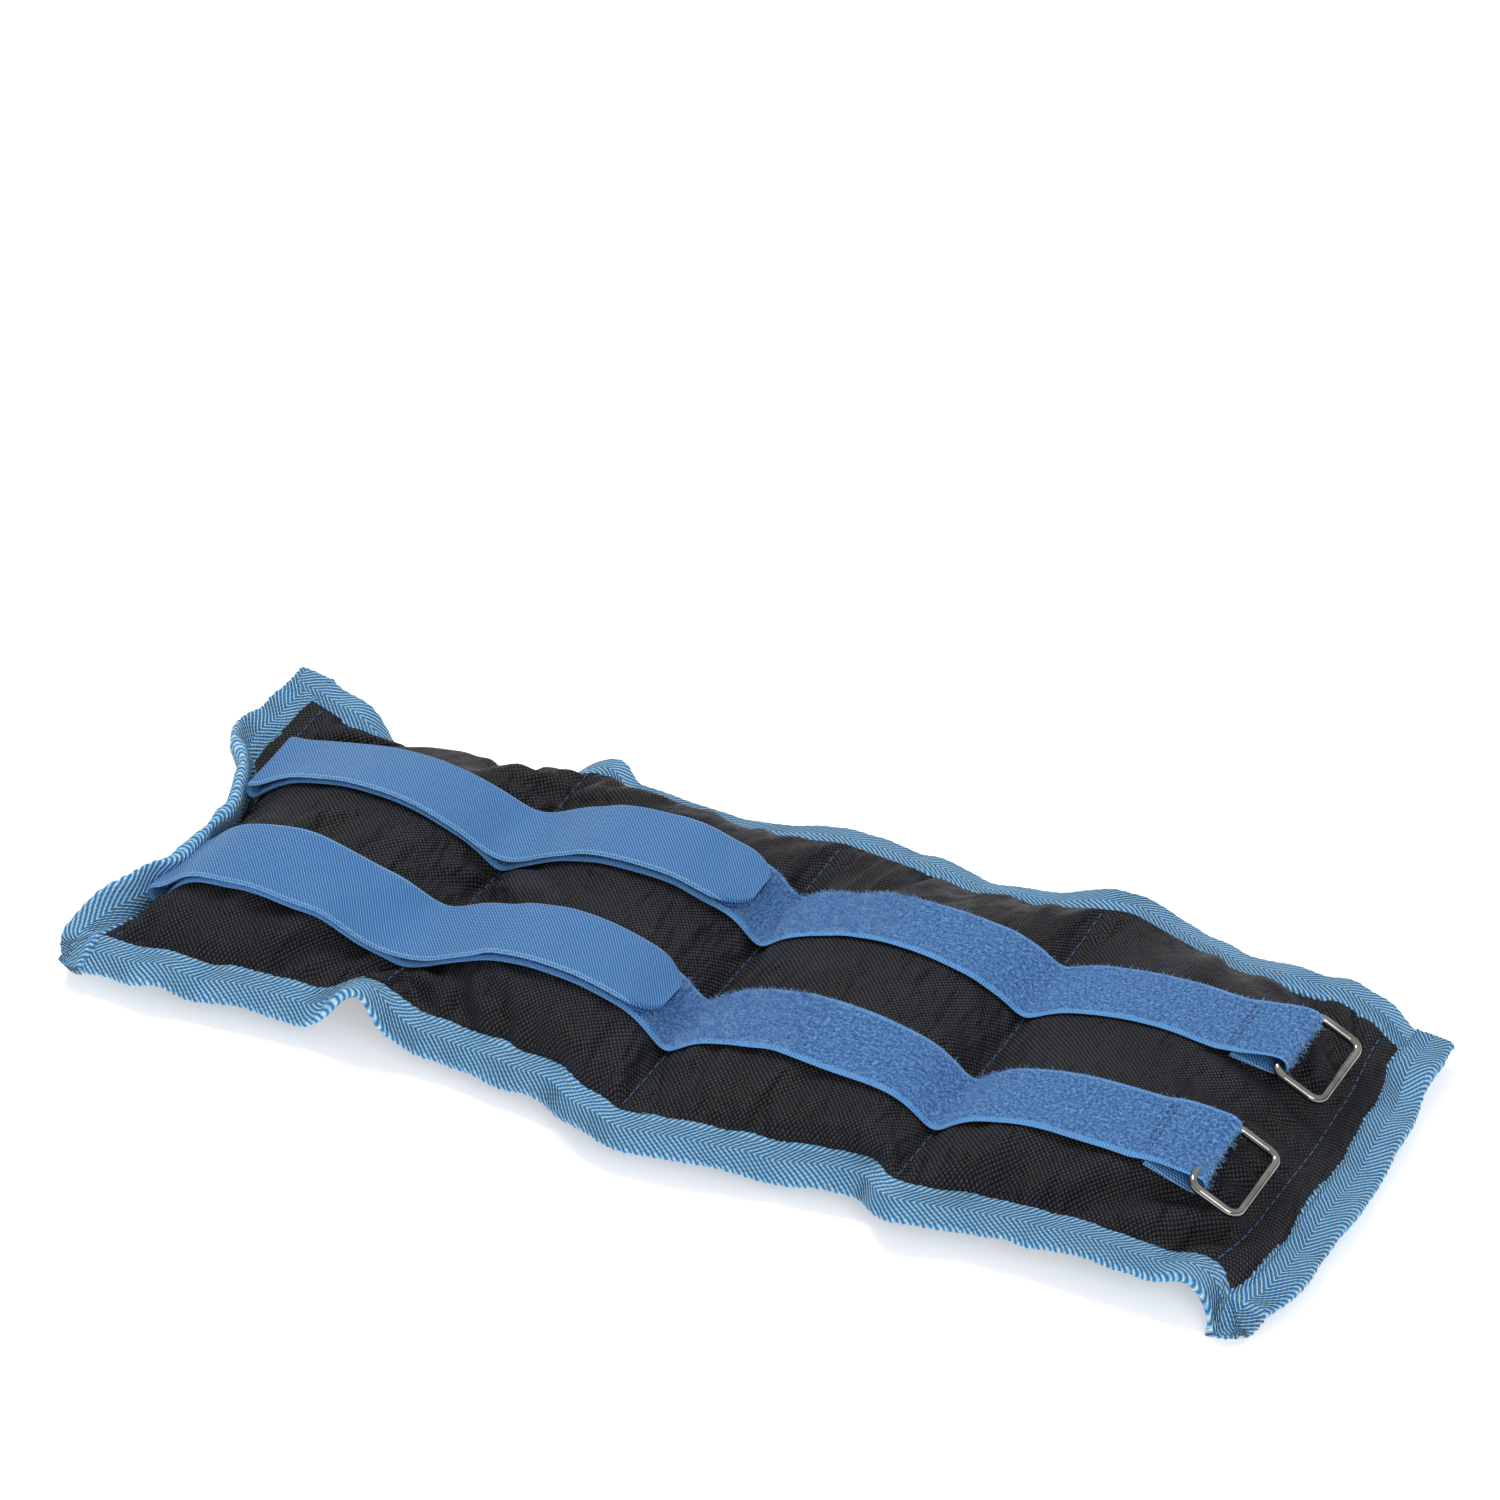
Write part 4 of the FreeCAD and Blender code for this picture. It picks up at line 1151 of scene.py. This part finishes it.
def cut_strap(side):
    """A strap, cut where its pieces part: mid-pocket, and before and after its fold."""
    rng = np.random.default_rng({"front": 51, "rear": 61}[side])
    rings, weave, path, up, across, start_fold, end_fold = strap_rings(side, rng)
    normals = ring_normals(rings)
    x = path[:, 0]
    number = np.arange(len(x))
    base = number <= start_fold
    stops = (MIDDLES[2], MIDDLES[1], FOLD_X + 2.0)
    first, second, third = [int(np.flatnonzero(base & (x < stop) & (number > 40))[0]) for stop in stops]
    fourth = int(np.flatnonzero((number >= end_fold) & (x > FOLD_X + 2.0))[0])
    tail = ("tail_root_{}", "tail_end_{}")
    spans = [
        ("strap_4", 0, first, 2, ("pocket_3", "pocket_4"), ("loop_strap_{}_4", "ring_loop_{}")),
        ("strap_3", first, second, 1, ("pocket_2", "pocket_3"), ("loop_strap_{}_3", "loop_strap_{}_2")),
        ("strap_1", second, third, 0, ("pocket_1", "pocket_2"), ("loop_strap_{}_1",)),
        ("strap_fold", third, fourth, None, ("pocket_1", "tail_root_{}"), ()),
        ("strap_tail", fourth, len(x) - 1, 0, tail, tail),
    ]
    # Where the pile shows: from, to, and how many stray fibres.
    fuzzy = {"strap_4": (MIDDLES[2], BAR[0] + 3, 4200), "strap_3": (TIP - 4, MIDDLES[2], 4800)}
    for name, start, stop, seam, bodies, nodes in spans:
        take = slice(start, stop + 1)
        extra = None
        if name in fuzzy:
            low, high, count = fuzzy[name]
            extra = fuzz(rings[take], up[take], rng, low, high, count)
        finish = [LOOP, WEBBING, FIBRE]
        piece = ring_piece(f"{name}_{side}", rings[take], weave[take], finish, normals[take], extra)
        bodies = [body.format(side) for body in bodies]
        if seam is None:
            low, high = path[third] * MM, path[fourth] * MM
            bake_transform(piece)
        else:
            bend_at(piece, seam, *bodies)
        if nodes:
            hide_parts(*[node.format(side) for node in nodes])
    make_hook_patch(side, path, up, across, end_fold)
    make_loop_stitches(side)


def make_hook_patch(side, path, up, across, end_fold):
    """The hook tape sewn under the free end."""
    number = np.arange(len(path))
    on = np.flatnonzero((number >= end_fold) & (path[:, 0] > HOOK[0]) & (path[:, 0] < HOOK[1] + 0.01))
    place = np.linspace(-1, 1, 13)
    half_width = 11.5 - 2.5 * np.clip((path[on, 0] - HOOK[1] + 3) / 3, 0, 1) ** 2
    s = place[None, :] * half_width[:, None]
    down = up[on][:, None, :] * np.ones((1, 13, 1))
    middle = path[on][:, None, :] + across[on][:, None, :] * s[..., None]
    thick = 0.75 * np.sqrt(np.clip(1 - abs(place) ** 8, 0.05, 1))[None, :, None]
    low = middle + down * (TAIL + 0.02 + thick)
    high = middle + down * (TAIL - 0.25)
    pattern = np.stack([np.repeat(path[on, :1], len(place), 1), s], axis=-1)
    piece = ring_piece(f"hook_tape_{side}", ringed(low, high), ringed(pattern, pattern), [HOOKS])
    stand_for(piece, f"tail_end_{side}", f"hook_patch_{side}")


def make_loop_stitches(side):
    """The seam that closes the strap round its ring."""
    x = LEG + 0.6
    height, slope = cloth_height(side, x) + 4 * PILE + 0.2, cloth_slope(side, x)
    dashes = []
    for row in (0.0, 1.6):
        for y in np.arange(-10.6, 9.0, 2.6):
            dashes.append([
                (x - row + drift, lean(side, x) + y + on, height + slope * (y + on) - row * 0.08)
                for drift, on in ((0.0, 0.0), (0.15, 1.9))
            ])
    piece = capsules(f"ring_seam_{side}", dashes, 0.32, [THREAD])
    stand_for(piece, "pocket_4", f"ring_loop_stitch_{side}")


for strap_side in ("front", "rear"):
    cut_strap(strap_side)


# The sewn lines across the cuff.

STITCH_PITCH = 3.5
STITCH_LENGTH = 2.6
STITCH_LIFT = 0.2
STITCH_RADIUS = 0.21
JITTER = 0.12  # how far a stitch strays from its line


def make_stitches():
    """Dashes of thread along each line, on both sides of the cuff."""
    rng = np.random.default_rng(71)
    for number, line in enumerate(LINES):
        column = int(np.argmin(abs(PATTERN_U - line)))
        dashes = []
        for grid, lift in ((TOP, STITCH_LIFT), (BOTTOM, -STITCH_LIFT)):
            seam = grid[column]
            length = np.concatenate([[0], np.cumsum(np.linalg.norm(np.diff(seam, axis=0), axis=1))])
            for start in np.arange(1.5, length[-1] - 3, STITCH_PITCH):
                ends = []
                for place in (start, start + STITCH_LENGTH + rng.uniform(-0.15, 0.15)):
                    point = [float(np.interp(place, length, seam[:, axis])) for axis in range(3)]
                    ends.append((point[0] + rng.uniform(-JITTER, JITTER), point[1], point[2] + lift))
                dashes.append(tuple(ends))
        piece = capsules(f"sewn_line_{number + 1}", dashes, STITCH_RADIUS, [THREAD])
        if 0 < number < 4:
            bend_at(piece, number - 1, POCKETS[number - 1], POCKETS[number])
            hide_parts(f"seam_stitch_{number}")
        elif number == 0:
            stand_for(piece, POCKETS[0], "end_stitch_left")
        else:
            stand_for(piece, POCKETS[3], "end_stitch_right")


make_stitches()

for ring in ("ring_front", "ring_rear"):
    for material_slot in frame["nodes"][ring].material_slots:
        material_slot.material = NICKEL


# The table, the lights and the camera.


def make_stage():
    mesh = bpy.data.meshes.new("table_top")
    corners = [(-3.0, -3.0, 0), (3.0, -3.0, 0), (3.0, 3.0, 0), (-3.0, 3.0, 0)]
    mesh.from_pydata(corners, [], [(0, 1, 2, 3)])
    mesh.materials.append(TABLE)
    put("table_top", mesh)


def aim(thing, target):
    direction = Vector(target) - thing.location
    thing.rotation_euler = direction.to_track_quat("-Z", "Y").to_euler()


def add_area(name, place, target, size, power):
    light = bpy.data.lights.new(name, "AREA")
    light.shape = "DISK"
    light.size = size
    light.energy = power
    lamp = put(name, light)
    lamp.location = place
    aim(lamp, target)


def add_camera():
    lens = bpy.data.cameras.new("camera")
    lens.lens = 144
    lens.sensor_width = 36
    camera = put("camera", lens)
    camera.location = (0.6070, -1.1630, 0.9568)
    aim(camera, (-0.0595, 0.1136, 0.0))
    bpy.context.scene.camera = camera


def add_world():
    """An even white sky that darkens towards the horizon."""
    world = bpy.data.worlds.new("studio")
    world.use_nodes = True
    background = world.node_tree.nodes["Background"]
    background.inputs["Strength"].default_value = 0.56
    nodes, links = world.node_tree.nodes, world.node_tree.links
    place = nodes.new("ShaderNodeTexCoord")
    height = nodes.new("ShaderNodeSeparateXYZ")
    sky = nodes.new("ShaderNodeValToRGB")
    stops = ((0.15, (0.25, 0.25, 0.26, 1.0)), (0.45, (1.0, 1.0, 1.0, 1.0)))
    for element, (position, colour) in zip(sky.color_ramp.elements, stops):
        element.position, element.color = position, colour
    links.new(place.outputs["Generated"], height.inputs[0])
    links.new(height.outputs["Z"], sky.inputs[0])
    links.new(sky.outputs[0], background.inputs["Color"])
    bpy.context.scene.world = world
    bpy.context.scene.view_settings.view_transform = "Standard"


make_stage()
add_area("key", (-0.7, 0.5, 1.5), (0, 0, 0), 0.7, 13)
add_area("fill", (1.2, -1.2, 1.1), (0, 0, 0), 1.2, 10)
add_camera()
add_world()
